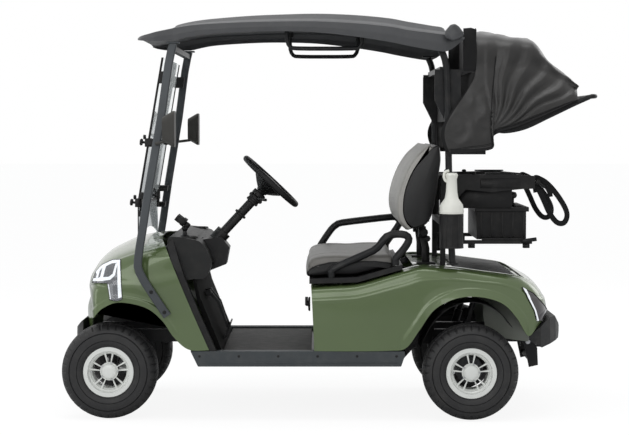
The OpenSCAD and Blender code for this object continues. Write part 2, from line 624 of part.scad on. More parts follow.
// Pane places: the windshield stands ahead of the struts and follows their slope
pane_low = [f(-145), 1010];
pane_top = [f(-261), 1700];
pane_foot = [f(-138), 884];
function pane_line(z) = pane_low[0] + (z - pane_low[1]) / (pane_top[1] - pane_low[1]) * (pane_top[0] - pane_low[0]);
pane_lean = atan2(pane_low[0] - pane_top[0], pane_top[1] - pane_low[1]);
pane_len = norm(pane_top - pane_low);
module upper_pane_place() translate([pane_low[0], 0, pane_low[1]]) rotate([0, -pane_lean, 0]) children();
module windshield_upper() color("#dfe8ea66") upper_pane_place() rotate([90, 0, 90])
    linear_extrude(glass_t) rounded(glass_w, 4, pane_len, 30);
module rounded(w, y0, y1, c) polygon([[c - w / 2, y0], [w / 2 - c, y0], [w / 2, y0 + c],
    [w / 2 - 12, y1 - c], [w / 2 - 12 - c, y1], [c + 12 - w / 2, y1], [12 - w / 2, y1 - c], [-w / 2,
    y0 + c]]);
module windshield_lower() color("#dfe8ea66") translate([pane_low[0], 0, 0])
    rotate([90, 0, 90]) linear_extrude(glass_t) polygon(concat(
        [for (i = [-6 : 6]) [i * glass_w / 12, pane_foot[1] - 2 - 62 * pow(abs(i) / 6, 2)]],
        [[glass_w / 2, pane_low[1] - 6], [-glass_w / 2, pane_low[1] - 6]]));
// Clips from the panes' edges to the struts, and two hinges between the panes
clip_zs = [[958, 984], [1040, 1070], [1290, 1320], [1578, 1634]];
function pane_back(z) = (z < pane_low[1] ? pane_low[0] : pane_line(z)) - seat_gap;
module windshield_clips() color("#1a1b1c") both() {
    for (z = clip_zs) slab(glass_w / 2 - 40, strut_in(z[1]) - seat_gap) polygon([[strut_x(z[0]) - 6, z[0]],
        [pane_back(z[0]), z[0]], [pane_back(z[1]), z[1]], [strut_x(z[1]) - 6, z[1]]]);
    slab(430, 470) polygon([[pane_low[0] - 12, pane_low[1] - 48], [pane_back(0), pane_low[1] - 48],
        [pane_back(0), pane_low[1]], [pane_back(pane_low[1] + 44), pane_low[1] + 44],
        [pane_back(pane_low[1] + 44) - 10, pane_low[1] + 44]]);
}

// The roof: a moulded skin with a deep side band, a raised middle panel and a spout behind.
// Each row: place along the cart, half width, band's lower and upper edge, crown.
roof_half = roof_w / 2;
roof_rows = [
    [f(-133), 188, 136, 127, 123], [f(-158), 98, 142, 120, 110], [f(-218), 38, 147, 108, 92],
    [f(-300), 10, 145, 92, 76], [f(-330), 6, 142, 86, 57], [f(-438), 3, 120, 72, 34],
    [f(-638), 0, 106, 62, 14], [r(893), 0, 103, 58, 5], [r(716), 0, 109, 58, 0],
    [r(538), 0, 129, 67, 6], [r(384), 3, 153, 82, 20], [r(301), 6, 170, 97, 35],
    [r(183), 10, 191, 112, 56], [r(130), 20, 196, 118, 66], [r(108), 34, 190, 118, 96],
    [r(84), 48, 176, 116, 78], [r(34), 70, 136, 128, 122]];
function roof_row(q) = let (hw = roof_half - q[1], low = roof_top - q[2], up = roof_top - q[3],
    rise = q[3] - q[4])
    mirrored([[q[0], hw, low], [q[0], hw + 2, (low + up) / 2], [q[0], hw - 5, up], [q[0], hw - 28,
        up + 0.12 * rise],
        [q[0], hw * 0.8, up + 0.35 * rise], [q[0], hw * 0.72, up + 0.78 * rise], [q[0], hw * 0.4,
        up + 0.94 * rise],
        [q[0], 0, up + rise]]);
roof_grid = smooth_grid([for (i = [len(roof_rows) - 1 : -1 : 0]) roof_row(roof_rows[i])], 2, 1);
function roof_table(k) = [for (i = [len(roof_rows) - 1 : -1 : 0]) [roof_rows[i][0], roof_rows[i][k]]];
// Height of the skin's middle over a point 88 mm in from the band
function roof_over(x) = let (up = lookup(x, roof_table(3)), crown = lookup(x, roof_table(4)))
    roof_top - up + 0.26 * (up - crown) - roof_t / 2;
rail_x = [r(861), r(508)];
rail_end_y = 500;
rail_end_z = 1838;
module roof() color("#464848") {
    shell(roof_grid, offset_grid(roof_grid, -roof_t));
    both() {
        for (x = rail_x) rod_z(x, rail_end_y, rail_end_z + seat_gap, roof_over(x), 36);
        rod_z(strut_top[0], strut_top[1], strut_top[2] + 6 + seat_gap, roof_over(strut_top[0]), 40);
        rod_z(rear_top[0], rear_strut_y, rear_top[1] + 6 + seat_gap, roof_over(rear_top[0]), 40);
    }
}
bar_z = 1728;
module roof_bars() {
    color("#1f2021") both() tube([for (p = spline([[861, rail_end_z], [860, 1780], [845, 1748], [812, 1741],
        [690, 1740], [555, 1741], [524, 1748], [509, 1780], [508, rail_end_z]], 2)) [r(p[0]), rail_end_y,
        p[1]]], 20);
    color("#8d8f90") box(f(-316), f(-291), seat_gap - strut_in(bar_z + 25), strut_in(bar_z + 25) - seat_gap, bar_z, bar_z + 25);
}
rear_top = [r(142), 1738];
rear_strut_path = [for (p = spline([[84, 730], [92, 850], [104, 1180], [112, 1560], [118, 1660], [130, 1708],
    [142, 1732]], 2)) [r(p[0]), rear_strut_y, p[1]]];
module rear_struts() color("#1f2021") both() {
    tube(rear_strut_path, rear_strut_d, 12);
    box(r(112), r(172), rear_strut_y - 26, rear_strut_y + 26, rear_top[1] - 2, rear_top[1] + 6);
    translate([r(84), rear_strut_y, 730]) rotate([0, 3, 0]) cylinder(d = 58, h = 7);
}

// REAR BODY

// Sections of the rear body from the seat box's front round to the tail: lower edge, waist,
// shoulder, top edge and inner lip, as distance from the rear axle, out, up.
rear_rows = [
    [[734, 566, 329.4], [740, 568, 480], [746, 566, 585], [748, 545, 622], [749, 500, 629], [749, 460, 629]],
    [[662, 572, 329.4], [662, 574, 480], [662, 570, 590], [662, 548, 628], [662, 500, 635], [662, 450, 635]],
    [[531, 573, 329.4], [531, 575, 490], [531, 570, 600], [531, 548, 638], [531, 500, 645], [531, 450, 645]],
    [[382, 573, 332], [382, 575, 510], [382, 570, 640], [382, 548, 680], [382, 500, 687], [382, 450, 687]],
    [[306, 574, 345], [306, 575, 520], [306, 570, 662], [306, 548, 702], [306, 500, 709], [306, 450, 709]],
    [[242, 578, 430], [242, 575, 560], [242, 570, 680], [242, 548, 718], [242, 500, 724], [242, 450, 724]],
    [[172, 582, 526], [172, 575, 600], [172, 570, 682], [172, 548, 717], [172, 500, 723], [172, 450, 723]],
    [[70, 584, 577], [70, 575, 620], [70, 570, 676], [70, 548, 709], [70, 500, 716], [70, 450, 716]],
    [[-39, 584, 583], [-39, 575, 618], [-39, 569, 664], [-39, 545, 694], [-39, 498, 701], [-39, 450, 701]],
    [[-141, 584, 553], [-143, 574, 600], [-145, 566, 652], [-146, 540, 680], [-147, 494, 687], [-147, 450,
    687]],
    [[-208, 582, 486], [-212, 572, 560], [-216, 560, 630], [-218, 532, 667], [-219, 488, 676], [-219, 450,
    676]],
    [[-262, 576, 402], [-268, 566, 510], [-264, 548, 600], [-258, 518, 650], [-254, 476, 664], [-250, 440,
    666]],
    [[-305, 560, 440], [-322, 546, 512], [-312, 520, 586], [-290, 486, 636], [-276, 448, 654], [-262, 420,
    660]],
    [[-340, 500, 472], [-356, 480, 520], [-344, 452, 580], [-312, 420, 632], [-290, 390, 650], [-266, 370,
    658]],
    [[-364, 340, 488], [-370, 330, 525], [-358, 310, 582], [-322, 290, 634], [-296, 270, 650], [-268, 256,
    657]],
    [[-372, 0, 490], [-376, 0, 526], [-362, 0, 584], [-326, 0, 636], [-299, 0, 651], [-270, 0, 657]]];
function rear_row(row, s) = [for (p = row) [r(p[0]), s * p[1] * wide, p[2]]];
rear_loop = concat([for (row = rear_rows) rear_row(row, 1)],
    [for (i = [len(rear_rows) - 2 : -1 : 0]) rear_row(rear_rows[i], -1)]);
rear_grid = smooth_grid(rear_loop, 2, 2);
deck_line = [[262, 716], [170, 715], [70, 708], [-39, 693], [-147, 679], [-219, 668], [-262, 652]];
deck_y = 452;
module tail_outline() polygon(pr([[-236, 626], [-290, 596], [-338, 545], [-400, 470], [-300, 470], [-292,
    520]]));
hinge_x = r(302);
hinge_z = 690;
lug_y = 300;
function deck_z(x) = lookup(x, [for (i = [len(deck_line) - 1 : -1 : 0]) deck_line[i]]);
module rear_body() color("#65724f") {
    difference() {
        shell(rear_grid, offset_grid(rear_grid, -panel_t));
        both() slab(470, body_side + 30) offset(delta = lamp_gap) tail_outline();
    }
    slab(-deck_y * wide, deck_y * wide) polygon(pr(concat(deck_line, [for (i = [len(deck_line) - 1 : -1 : 0])
        deck_line[i] - [0, panel_t]])));
    slab(-560 * wide, 560 * wide) polygon(pr([[733, 329.4], [747, 612], [741, 612], [727, 329.4]]));
    slab(-500 * wide, 500 * wide) polygon(pr([[741, 600], [747, 600], [749, 629], [720, 631], [720, 625],
        [741, 623]]));
    both() {
        for (y = [lug_y - 16, lug_y + 10]) slab(y, y + 6) polygon([[r(262), 711], [r(240), 711], [r(262),
            hinge_z - 10],
            [hinge_x + 8, hinge_z - 10], [hinge_x + 10, hinge_z], [hinge_x + 4, hinge_z + 9], [hinge_x - 8,
            hinge_z + 9]]);
        rod_y(hinge_x, hinge_z, lug_y - 16, lug_y + 16, hinge_d);
    }
}
module deck_mat() color("#1a1b1c") slab(-deck_y + 8, deck_y - 8) polygon(pr([[74, 709], [-39, 693 + seat_gap],
    [-147, 679 + seat_gap], [-217, 668.6 + seat_gap], [-217, 676], [-147, 687], [-39, 701], [74, 716.5]]));
module tail_lamps() color("#2a1b1c") intersection() {
    shell(offset_grid(rear_grid, 2), offset_grid(rear_grid, -24));
    both() slab(470 + lamp_gap, body_side + 20) tail_outline();
}
bumper_wall = 8;
bumper_seat_x = -424;
module rear_bumper_plan(inset) linear_extrude(200) polygon(concat([[r(-230), inset - body_side + 6]],
    [for (i = [-8 : 8]) [r(inset - 452 + 130 * pow(abs(i) / 8, 4)), i * (body_side - 6 - inset) / 8]],
    [[r(-230), body_side - 6 - inset]]));
module rear_bumper() color("#222425") difference() {
    intersection() {
        slab(8 - body_side, body_side - 8) polygon(pr([[-266, 396], [-307, 430], [-344, 462], [-376, 480],
            [-404, 484], [-440, 430], [-450, 404], [-432, 370], [-330, 345], [-280, 372]]));
        translate([0, 0, 320]) rear_bumper_plan(0);
    }
    intersection() {
        slab(-body_side, body_side) polygon(pr([[-240, 384], [-312, 420], [-350, 452], [-380, 468], [-402,
            468],
            [bumper_seat_x, 425], [bumper_seat_x, 377], [-352, 359], [-345, 330], [-240, 330]]));
        translate([0, 0, 310]) rear_bumper_plan(bumper_wall);
    }
}

// SEAT

pan_half = arm_y + arm_d / 2 + 4;
pan_line = [[757, 642], [531, 649], [382, 692], [322, 709]];
pan_t = 24;
module seat_pan() color("#1b1c1d") difference() {
    union() {
        slab(-pan_half, pan_half) polygon(pr(concat(pan_line, [for (i = [3 : -1 : 0]) pan_line[i] + [0,
            pan_t]])));
        both() slab(lug_y - 10 + seat_gap, lug_y + 10 - seat_gap) polygon([[r(340), 712], [r(322), 716],
            [hinge_x - 8, hinge_z + 8], [hinge_x - 9, hinge_z - 4], [hinge_x, hinge_z - 10], [hinge_x + 8,
            hinge_z - 8],
            [r(340), 704]]);
    }
    both() rod_y(hinge_x, hinge_z, lug_y - 20, lug_y + 20, hinge_d + 2 * run_gap);
}
// A cushion: its side outline, drawn in along its normals towards the two ends
function swell(outline, w, round, draw, n = 4) = let (m = len(outline))
    [for (s = [1 : -2 : -1]) for (i = [0 : n]) let (a = 90 * (s > 0 ? i : n - i) / n,
        y = s * (w / 2 - round * (1 - cos(a))), d = draw * (1 - sin(a)))
        [for (j = [0 : m - 1]) let (t = unit(outline[(j + 1) % m] - outline[(j + m - 1) % m]))
            [outline[j][0] - d * t[1], y, outline[j][1] + d * t[0]]]];
cushion_outline = closed_spline(pr([[760, 672], [762, 715], [745, 752], [690, 770], [560, 776], [430, 778],
    [376, 772], [358, 745], [366, 726], [384, 718], [531, 676.5], [640, 672]]), 2);
module seat_cushion() color("#2a2a2b") loft(swell(cushion_outline, seat_w, 34, 16));
// The line in side view along which the grey pad meets the black back
back_seam = [[266, 898], [294, 926], [309, 968], [310, 1010], [307, 1045], [297, 1090], [277, 1142], [250,
    1191],
    [208, 1240], [172, 1277]];
back_outline = pr(concat(spline([[292, 890], [326, 925], [341, 970], [342, 1022], [331, 1078], [315, 1127],
    [292, 1179], [258, 1231], [222, 1266], [192, 1291]], 2),
    spline([for (i = [len(back_seam) - 1 : -1 : 0]) back_seam[i]], 2)));
module backrest_cushion() color("#8e8a86") loft(swell(back_outline, back_w, 32, 7));
back_fit = 2 * seat_gap;
shell_outline = pr(concat(spline([for (p = back_seam) p - [back_fit, 0]], 2),
    spline([[158, 1290], [145, 1280], [140, 1250], [139, 1214], [146, 1160], [152, 1100], [160, 1050],
    [170, 1000],
    [184, 950], [206, 918], [236, 904], [256, 898]], 2)));
module backrest_shell() color("#18191a") {
    loft(swell(shell_outline, back_w, 32, 7));
    for (y = [-260, 230]) {
        slab(y, y + 30) polygon(pr([[234, 940], [226, 880], [214, 790], [214, 716.2], [178, 716.2],
            [178, 790], [200, 880], [206, 940]]));
        slab(y - 20, y + 50) polygon(pr([[150, deck_z(150) + 1], [170, deck_z(170) + seat_gap], [240,
            deck_z(240) + seat_gap], [240, 724], [150, 724]]));
    }
}
function pan_top(x) = lookup(x, [for (i = [3 : -1 : 0]) pan_line[i]]) + pan_t;
function on_pan(x) = [x, max(pan_top(x - arm_d / 2), pan_top(x + arm_d / 2)) + 2 * seat_gap];
arm_near = [on_pan(654), [654, 685], [654, 700], [620, 724], [540, 760], [457, 797], [425, 826], [396,
    862], [350, 874],
    [308, 870], [291, 852], [300, 826], [326, 790], [352, 762], [354, 745], on_pan(354)];
arm_far = [on_pan(716), [716, 720], [700, 760], [648, 837], [620, 862], [590, 874], [460, 890], [330, 904],
    [300, 898], [288, 878], [300, 852], [336, 800], [360, 765], [362, 745], on_pan(362)];
module arm_rails() color("#161718") {
    tube([for (p = spline(arm_near, 2)) [r(p[0]), arm_y, p[1]]], arm_d);
    tube([for (p = spline(arm_far, 2)) [r(p[0]), -arm_y, p[1]]], arm_d);
}

// RACK, BOX AND BOTTLE

post_x = r(106);
post_y = 300;
post_w = 25;
head_z = 1075;
module bag_rack() color("#1c1d1e") {
    both() {
        box(post_x, post_x + post_w, post_y, post_y + post_w, deck_z(106 + post_w) + seat_gap, head_z + 70);
        box(r(-310), post_x + post_w, post_y - 2, post_y + 14, 815, 833);
        box(r(-310), r(-292), post_y - 24, post_y + 14, 815, 833);
        slab(post_y - 30, post_y + 20) difference() {
            polygon(pr([[131, 1130], [100, 1145], [-200, 1151], [-322, 1140], [-322, 1080], [-260, 1078],
                [-180, 1070], [-120, 1062], [10, 1075], [60, 1020], [106, 999], [131, 999]]));
        }
    }
    box(post_x, post_x + post_w, -post_y, post_y, 905, 930);
    box(r(-30), r(40), -post_y, post_y, 1080, 1105);
    box(r(40), r(131), -post_y, post_y, 1120, 1140);
}
box_x0 = r(-287);
box_x1 = r(-49);
box_z0 = 833.6;
box_z1 = 990;
module storage_box() color("#26282a") difference() {
    union() {
        box(box_x0, box_x1, -box_w / 2, box_w / 2, box_z0, box_z1);
        box(box_x0 - 12, box_x1 + 10, -box_w / 2 - 12, box_w / 2 + 12, box_z1 - 22, box_z1);
        both() box(box_x0 + 20, box_x1 - 20, box_w / 2 - 2, post_y + 12, box_z0, box_z0 + 10);
    }
    box(box_x0 + box_wall, box_x1 - box_wall, -box_w / 2 + box_wall, box_w / 2 - box_wall,
        box_z0 + box_wall, box_z1 + 1);
}
bottle_x = r(96);
bottle_y = rear_strut_y + rear_strut_d / 2 + bottle_d / 2 + 4;
holder_z0 = 812;
holder_z1 = 972;
holder_d = bottle_d - 2;
module bottle_holder() color("#141516") {
    difference() {
        rod_z(bottle_x, bottle_y, holder_z0, holder_z1, holder_d);
        rod_z(bottle_x, bottle_y, holder_z0 + 5, holder_z1 + 1, holder_d - 8);
    }
    for (z = [845, 925])
        box(bottle_x - 14, bottle_x + 14, rear_strut_y + rear_strut_d / 2 + seat_gap,
            bottle_y - holder_d / 2 + 3, z, z + 24);
}
module sand_bottle() color("#e4e4e0") translate([bottle_x, bottle_y, 0]) rotate_extrude() polygon([
    [0, holder_z0 + 5 + seat_gap], [holder_d / 2 - 6, holder_z0 + 5 + seat_gap],
    [holder_d / 2 - 6, holder_z1 + seat_gap], [bottle_d / 2, holder_z1 + seat_gap],
    [bottle_d / 2, holder_z1 + 24], [bottle_d / 2 - 4, holder_z1 + 44], [32, holder_z1 + 72], [27,
    holder_z1 + 100],
    [24, holder_z1 + bottle_h - 30], [30, holder_z1 + bottle_h - 10], [22, holder_z1 + bottle_h], [0,
    holder_z1 + bottle_h]]);
// Two bag straps that hang from the rack's rear end as loops of webbing
strap_w = 28;
strap_t = 5;
strap_line = [[-322, 1130], [-332, 1130], [-372, 1108], [-426, 1050], [-464, 985], [-468, 940], [-448,
    916], [-418, 928],
    [-384, 968], [-358, 1030], [-342, 1072], [-332, 1084], [-322, 1084]];
module bag_straps() color("#141414") both()
    sweep([for (p = spline(strap_line, 1)) [r(p[0]) - seat_gap, post_y - 4, p[1]]], box_section(strap_w,
        strap_t, 1));

// BAG COVER

cover_rows = [
    [[114, 528, 1244], [137, 526, 1376], [-10, 500, 1607], [-20, 440, 1800], [-24, 0, 1842]],
    [[10, 530, 1258], [10, 528, 1400], [-40, 500, 1630], [-60, 436, 1806], [-60, 0, 1846]],
    [[-97, 530, 1274], [-90, 528, 1430], [-110, 498, 1640], [-130, 430, 1800], [-130, 0, 1838]],
    [[-104, 530, 1340], [-110, 526, 1450], [-150, 494, 1645], [-170, 428, 1796], [-170, 0, 1832]],
    [[-200, 526, 1372], [-205, 520, 1480], [-230, 486, 1650], [-250, 420, 1786], [-250, 0, 1820]],
    [[-290, 522, 1408], [-290, 514, 1510], [-300, 474, 1645], [-311, 410, 1770], [-311, 0, 1802]],
    [[-390, 518, 1452], [-390, 506, 1530], [-388, 462, 1612], [-386, 405, 1682], [-387, 0, 1706]],
    [[-466, 516, 1488], [-470, 500, 1532], [-476, 454, 1574], [-482, 400, 1608], [-488, 0, 1624]],
    [[-496, 514, 1503], [-500, 494, 1526], [-506, 448, 1553], [-510, 405, 1573], [-514, 0, 1584]]];
cover_grid = smooth_grid([for (i = [len(cover_rows) - 1 : -1 : 0])
    mirrored([for (p = cover_rows[i]) [r(p[0]), p[1], p[2]]])], 2, 2);
module cover_fabric() color("#34332f") shell(cover_grid, offset_grid(cover_grid, -fabric_t));
pivot = [r(-88), 1370];
pivot_d = 12;
// Half width of the cover where its frame's pegs hold it
cover_side = 528;
channel_out = rear_strut_y - rear_strut_d / 2 - seat_gap;
module cover_frame() color("#303234") {
    both() {
        slab(channel_out - 8, channel_out) polygon(pr([[170, 1632], [47, 1632], [47, 1399], [120, 1399],
            [150, 1460],
            [170, 1500]]));
        slab(channel_out - 5, channel_out) polygon(pr([[120, 1430], [60, 1400], [-84, 1358], [-98, 1368],
            [-90, 1382],
            [60, 1424]]));
        rod_y(pivot[0], pivot[1], channel_out - 5, bow_y + 6, pivot_d);
        rod_y(r(10), 1400, channel_out - 4, cover_side - fabric_t - 4 * seat_gap, 16);
        box(r(-31), r(169), channel_out - 30, channel_out - 5, 1632, 1644);
    }
    box(r(120), r(145), -channel_out + 20, channel_out - 20, 1632, 1657);
}
bow_end = -564;
bow_line = [[-100, 1368], [-156, 1356], [-250, 1374], [-360, 1425], [-470, 1478], [-536, 1508], [bow_end,
    1519]];
function bow_side(s) = [for (p = spline(bow_line, 2)) [r(p[0]), s * bow_y, p[1]]];
bow_corner = 60;
module cover_bow() color("#1b1c1d") {
    tube(concat(bow_side(1), [for (a = [15 : 15 : 90]) [r(bow_end) - bow_corner * sin(a) * 0.4,
        bow_y - bow_corner * (1 - cos(a)), 1519]],
        [for (a = [90 : -15 : 15]) [r(bow_end) - bow_corner * sin(a) * 0.4,
        -bow_y + bow_corner * (1 - cos(a)), 1519]],
        [for (i = [len(bow_side(1)) - 1 : -1 : 0]) bow_side(-1)[i]]), bow_d);
    both() difference() {
        rod_y(pivot[0], pivot[1], bow_y - 8, bow_y + 8, 30);
        rod_y(pivot[0], pivot[1], bow_y - 12, bow_y + 12, pivot_d + 2 * run_gap);
    }
}

// MIRRORS

module mirrors() color("#3a3c3e") {
    mirror_head(f(-296), 642, 1278);
    mirror([0, 1, 0]) mirror_head(f(-325), 628, 1276);
}
module mirror_head(x, y, z) {
    translate([x, y, z + 87]) hull() {
        translate([-26, 0, 0]) scale_plate(8, 112, 166);
        translate([24, 0, 0]) scale_plate(8, 66, 110);
    }
    foot = [strut_x(z + 20), strut_in(z + 10) + strut_w + seat_gap, z + 20];
    tube([[x + 10, y - 10, z + 30], foot + [0, 20, 0], foot], 14);
}
module scale_plate(t, w, h) rotate([0, 90, 0]) translate([0, 0, -t / 2]) linear_extrude(t)
    hull() for (a = [-1, 1], b = [-1, 1]) translate([a * (h / 2 - 26), b * (w / 2 - 26)]) circle(r = 26,
        $fn = 20);

chassis_frame();
front_axle();
rear_axle();
drive_motor();
battery_pack();
front_cowl();
cowl_trim();
toe_board();
dashboard();
floor_mat();
sills();
headlamps();
front_bumper();
pedals();
steering_column();
front_struts();
windshield_lower();
windshield_upper();
windshield_clips();
roof();
roof_bars();
rear_struts();
rear_body();
deck_mat();
tail_lamps();
rear_bumper();
backrest_cushion();
backrest_shell();
bag_rack();
storage_box();
sand_bottle();
bottle_holder();
bag_straps();
cover_fabric();
cover_frame();
mirrors();
seat_pan();
seat_cushion();
arm_rails();
cover_bow();
steering_wheel();
knuckle_left();
knuckle_right();
tie_rod();
tyre_front_left();
rim_front_left();
tyre_front_right();
rim_front_right();
tyre_rear_left();
rim_rear_left();
tyre_rear_right();
rim_rear_right();
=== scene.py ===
"""Two-seat electric golf cart: the looks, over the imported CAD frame. Metres, +X forward, +Y left, +Z up."""
import json
import math

import bmesh
import bpy
import numpy as np
from mathutils import Matrix, Vector, geometry, noise
from mathutils.bvhtree import BVHTree


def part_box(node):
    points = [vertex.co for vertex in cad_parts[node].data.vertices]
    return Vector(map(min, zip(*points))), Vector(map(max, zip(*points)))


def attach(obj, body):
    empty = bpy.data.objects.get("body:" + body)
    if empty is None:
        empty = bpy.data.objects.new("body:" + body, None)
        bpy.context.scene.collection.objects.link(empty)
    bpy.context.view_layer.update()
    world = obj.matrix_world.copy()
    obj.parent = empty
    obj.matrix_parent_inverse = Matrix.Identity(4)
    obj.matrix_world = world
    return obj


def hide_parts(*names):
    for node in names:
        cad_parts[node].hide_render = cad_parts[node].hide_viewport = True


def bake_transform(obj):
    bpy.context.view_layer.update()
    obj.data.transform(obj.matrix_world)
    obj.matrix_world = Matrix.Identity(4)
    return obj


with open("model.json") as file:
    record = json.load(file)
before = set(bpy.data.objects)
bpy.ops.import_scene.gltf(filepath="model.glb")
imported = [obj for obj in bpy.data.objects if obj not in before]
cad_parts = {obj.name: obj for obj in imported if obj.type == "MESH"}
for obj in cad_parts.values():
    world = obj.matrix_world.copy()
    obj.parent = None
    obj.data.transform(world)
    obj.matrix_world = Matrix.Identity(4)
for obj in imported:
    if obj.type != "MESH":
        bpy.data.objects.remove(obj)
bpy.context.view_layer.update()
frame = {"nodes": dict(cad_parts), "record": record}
nodes = frame["nodes"]
scene = bpy.context.scene

# CAMERA, WORLD, LIGHTS, FLOOR

cam_data = bpy.data.cameras.new("camera")
cam_data.lens = 105.6
cam_data.sensor_width = 36.0
cam_data.shift_x = -0.004
cam_data.clip_end = 80.0
camera = bpy.data.objects.new("camera", cam_data)
camera.location = (0.059, 9.14, 1.375)
camera.rotation_euler = (math.radians(87.19), 0.0, math.radians(180.0))
scene.collection.objects.link(camera)
scene.camera = camera
scene.view_settings.view_transform = "Standard"


world = bpy.data.worlds.new("studio")
scene.world = world
world.use_nodes = True
wt = world.node_tree
wt.nodes.clear()
# The camera, gloss and glass see plain white. The light that falls on the object is dimmer.
path = wt.nodes.new("ShaderNodeLightPath")
seen = path.outputs["Is Camera Ray"]
for ray in ("Is Glossy Ray", "Is Transmission Ray"):
    either = wt.nodes.new("ShaderNodeMath")
    either.operation = "MAXIMUM"
    wt.links.new(seen, either.inputs[0])
    wt.links.new(path.outputs[ray], either.inputs[1])
    seen = either.outputs[0]
lit = wt.nodes.new("ShaderNodeBackground")
lit.inputs["Color"].default_value = (0.97, 0.985, 1.0, 1)
lit.inputs["Strength"].default_value = 0.62
white = wt.nodes.new("ShaderNodeBackground")
white.inputs["Color"].default_value = (1, 1, 1, 1)
white.inputs["Strength"].default_value = 1.0
mix = wt.nodes.new("ShaderNodeMixShader")
out = wt.nodes.new("ShaderNodeOutputWorld")
wt.links.new(seen, mix.inputs[0])
wt.links.new(lit.outputs[0], mix.inputs[1])
wt.links.new(white.outputs[0], mix.inputs[2])
wt.links.new(mix.outputs[0], out.inputs["Surface"])


def area_light(name, place, target, size, power):
    data = bpy.data.lights.new(name, "AREA")
    data.shape = "RECTANGLE"
    data.size, data.size_y = size
    data.energy = power
    ob = bpy.data.objects.new(name, data)
    ob.location = place
    ob.rotation_euler = (Vector(target) - Vector(place)).to_track_quat("-Z", "Y").to_euler()
    scene.collection.objects.link(ob)


area_light("light_top", (0.3, 0.6, 5.6), (0, 0, 0.9), (5.0, 3.6), 120)
area_light("light_side", (1.8, 6.4, 3.0), (0, 0, 0.8), (4.0, 2.6), 66)
area_light("light_front", (6.0, 1.5, 2.2), (0, 0, 0.9), (2.6, 2.6), 36)
area_light("light_back", (-5.0, -4.0, 3.2), (0, 0, 0.9), (3.0, 2.6), 36)

floor_mesh = bpy.data.meshes.new("floor_plane")
floor_mesh.from_pydata([(-40, -60, 0), (40, -60, 0), (40, 30, 0), (-40, 30, 0)], [], [(0, 1, 2, 3)])
floor_ob = bpy.data.objects.new("floor_plane", floor_mesh)
scene.collection.objects.link(floor_ob)
fm = bpy.data.materials.new("floor_white")
fm.use_nodes = True
ft = fm.node_tree
ft.nodes.clear()
# The camera sees the floor as nearly white, with a faint share of its shadows.
path = ft.nodes.new("ShaderNodeLightPath")
share = ft.nodes.new("ShaderNodeMath")
share.operation = "MULTIPLY"
share.inputs[1].default_value = 0.82
ft.links.new(path.outputs["Is Camera Ray"], share.inputs[0])
plain = ft.nodes.new("ShaderNodeBsdfDiffuse")
plain.inputs["Color"].default_value = (0.82, 0.82, 0.82, 1)
glow = ft.nodes.new("ShaderNodeEmission")
glow.inputs["Strength"].default_value = 1.09
fmix = ft.nodes.new("ShaderNodeMixShader")
fout = ft.nodes.new("ShaderNodeOutputMaterial")
ft.links.new(share.outputs[0], fmix.inputs[0])
ft.links.new(plain.outputs[0], fmix.inputs[1])
ft.links.new(glow.outputs[0], fmix.inputs[2])
ft.links.new(fmix.outputs[0], fout.inputs["Surface"])
floor_mesh.materials.append(fm)

# MATERIALS


def linear(c):
    return tuple((v / 255 / 12.92 if v / 255 <= 0.04045 else ((v / 255 + 0.055) / 1.055) ** 2.4) for v in c) + (1,)


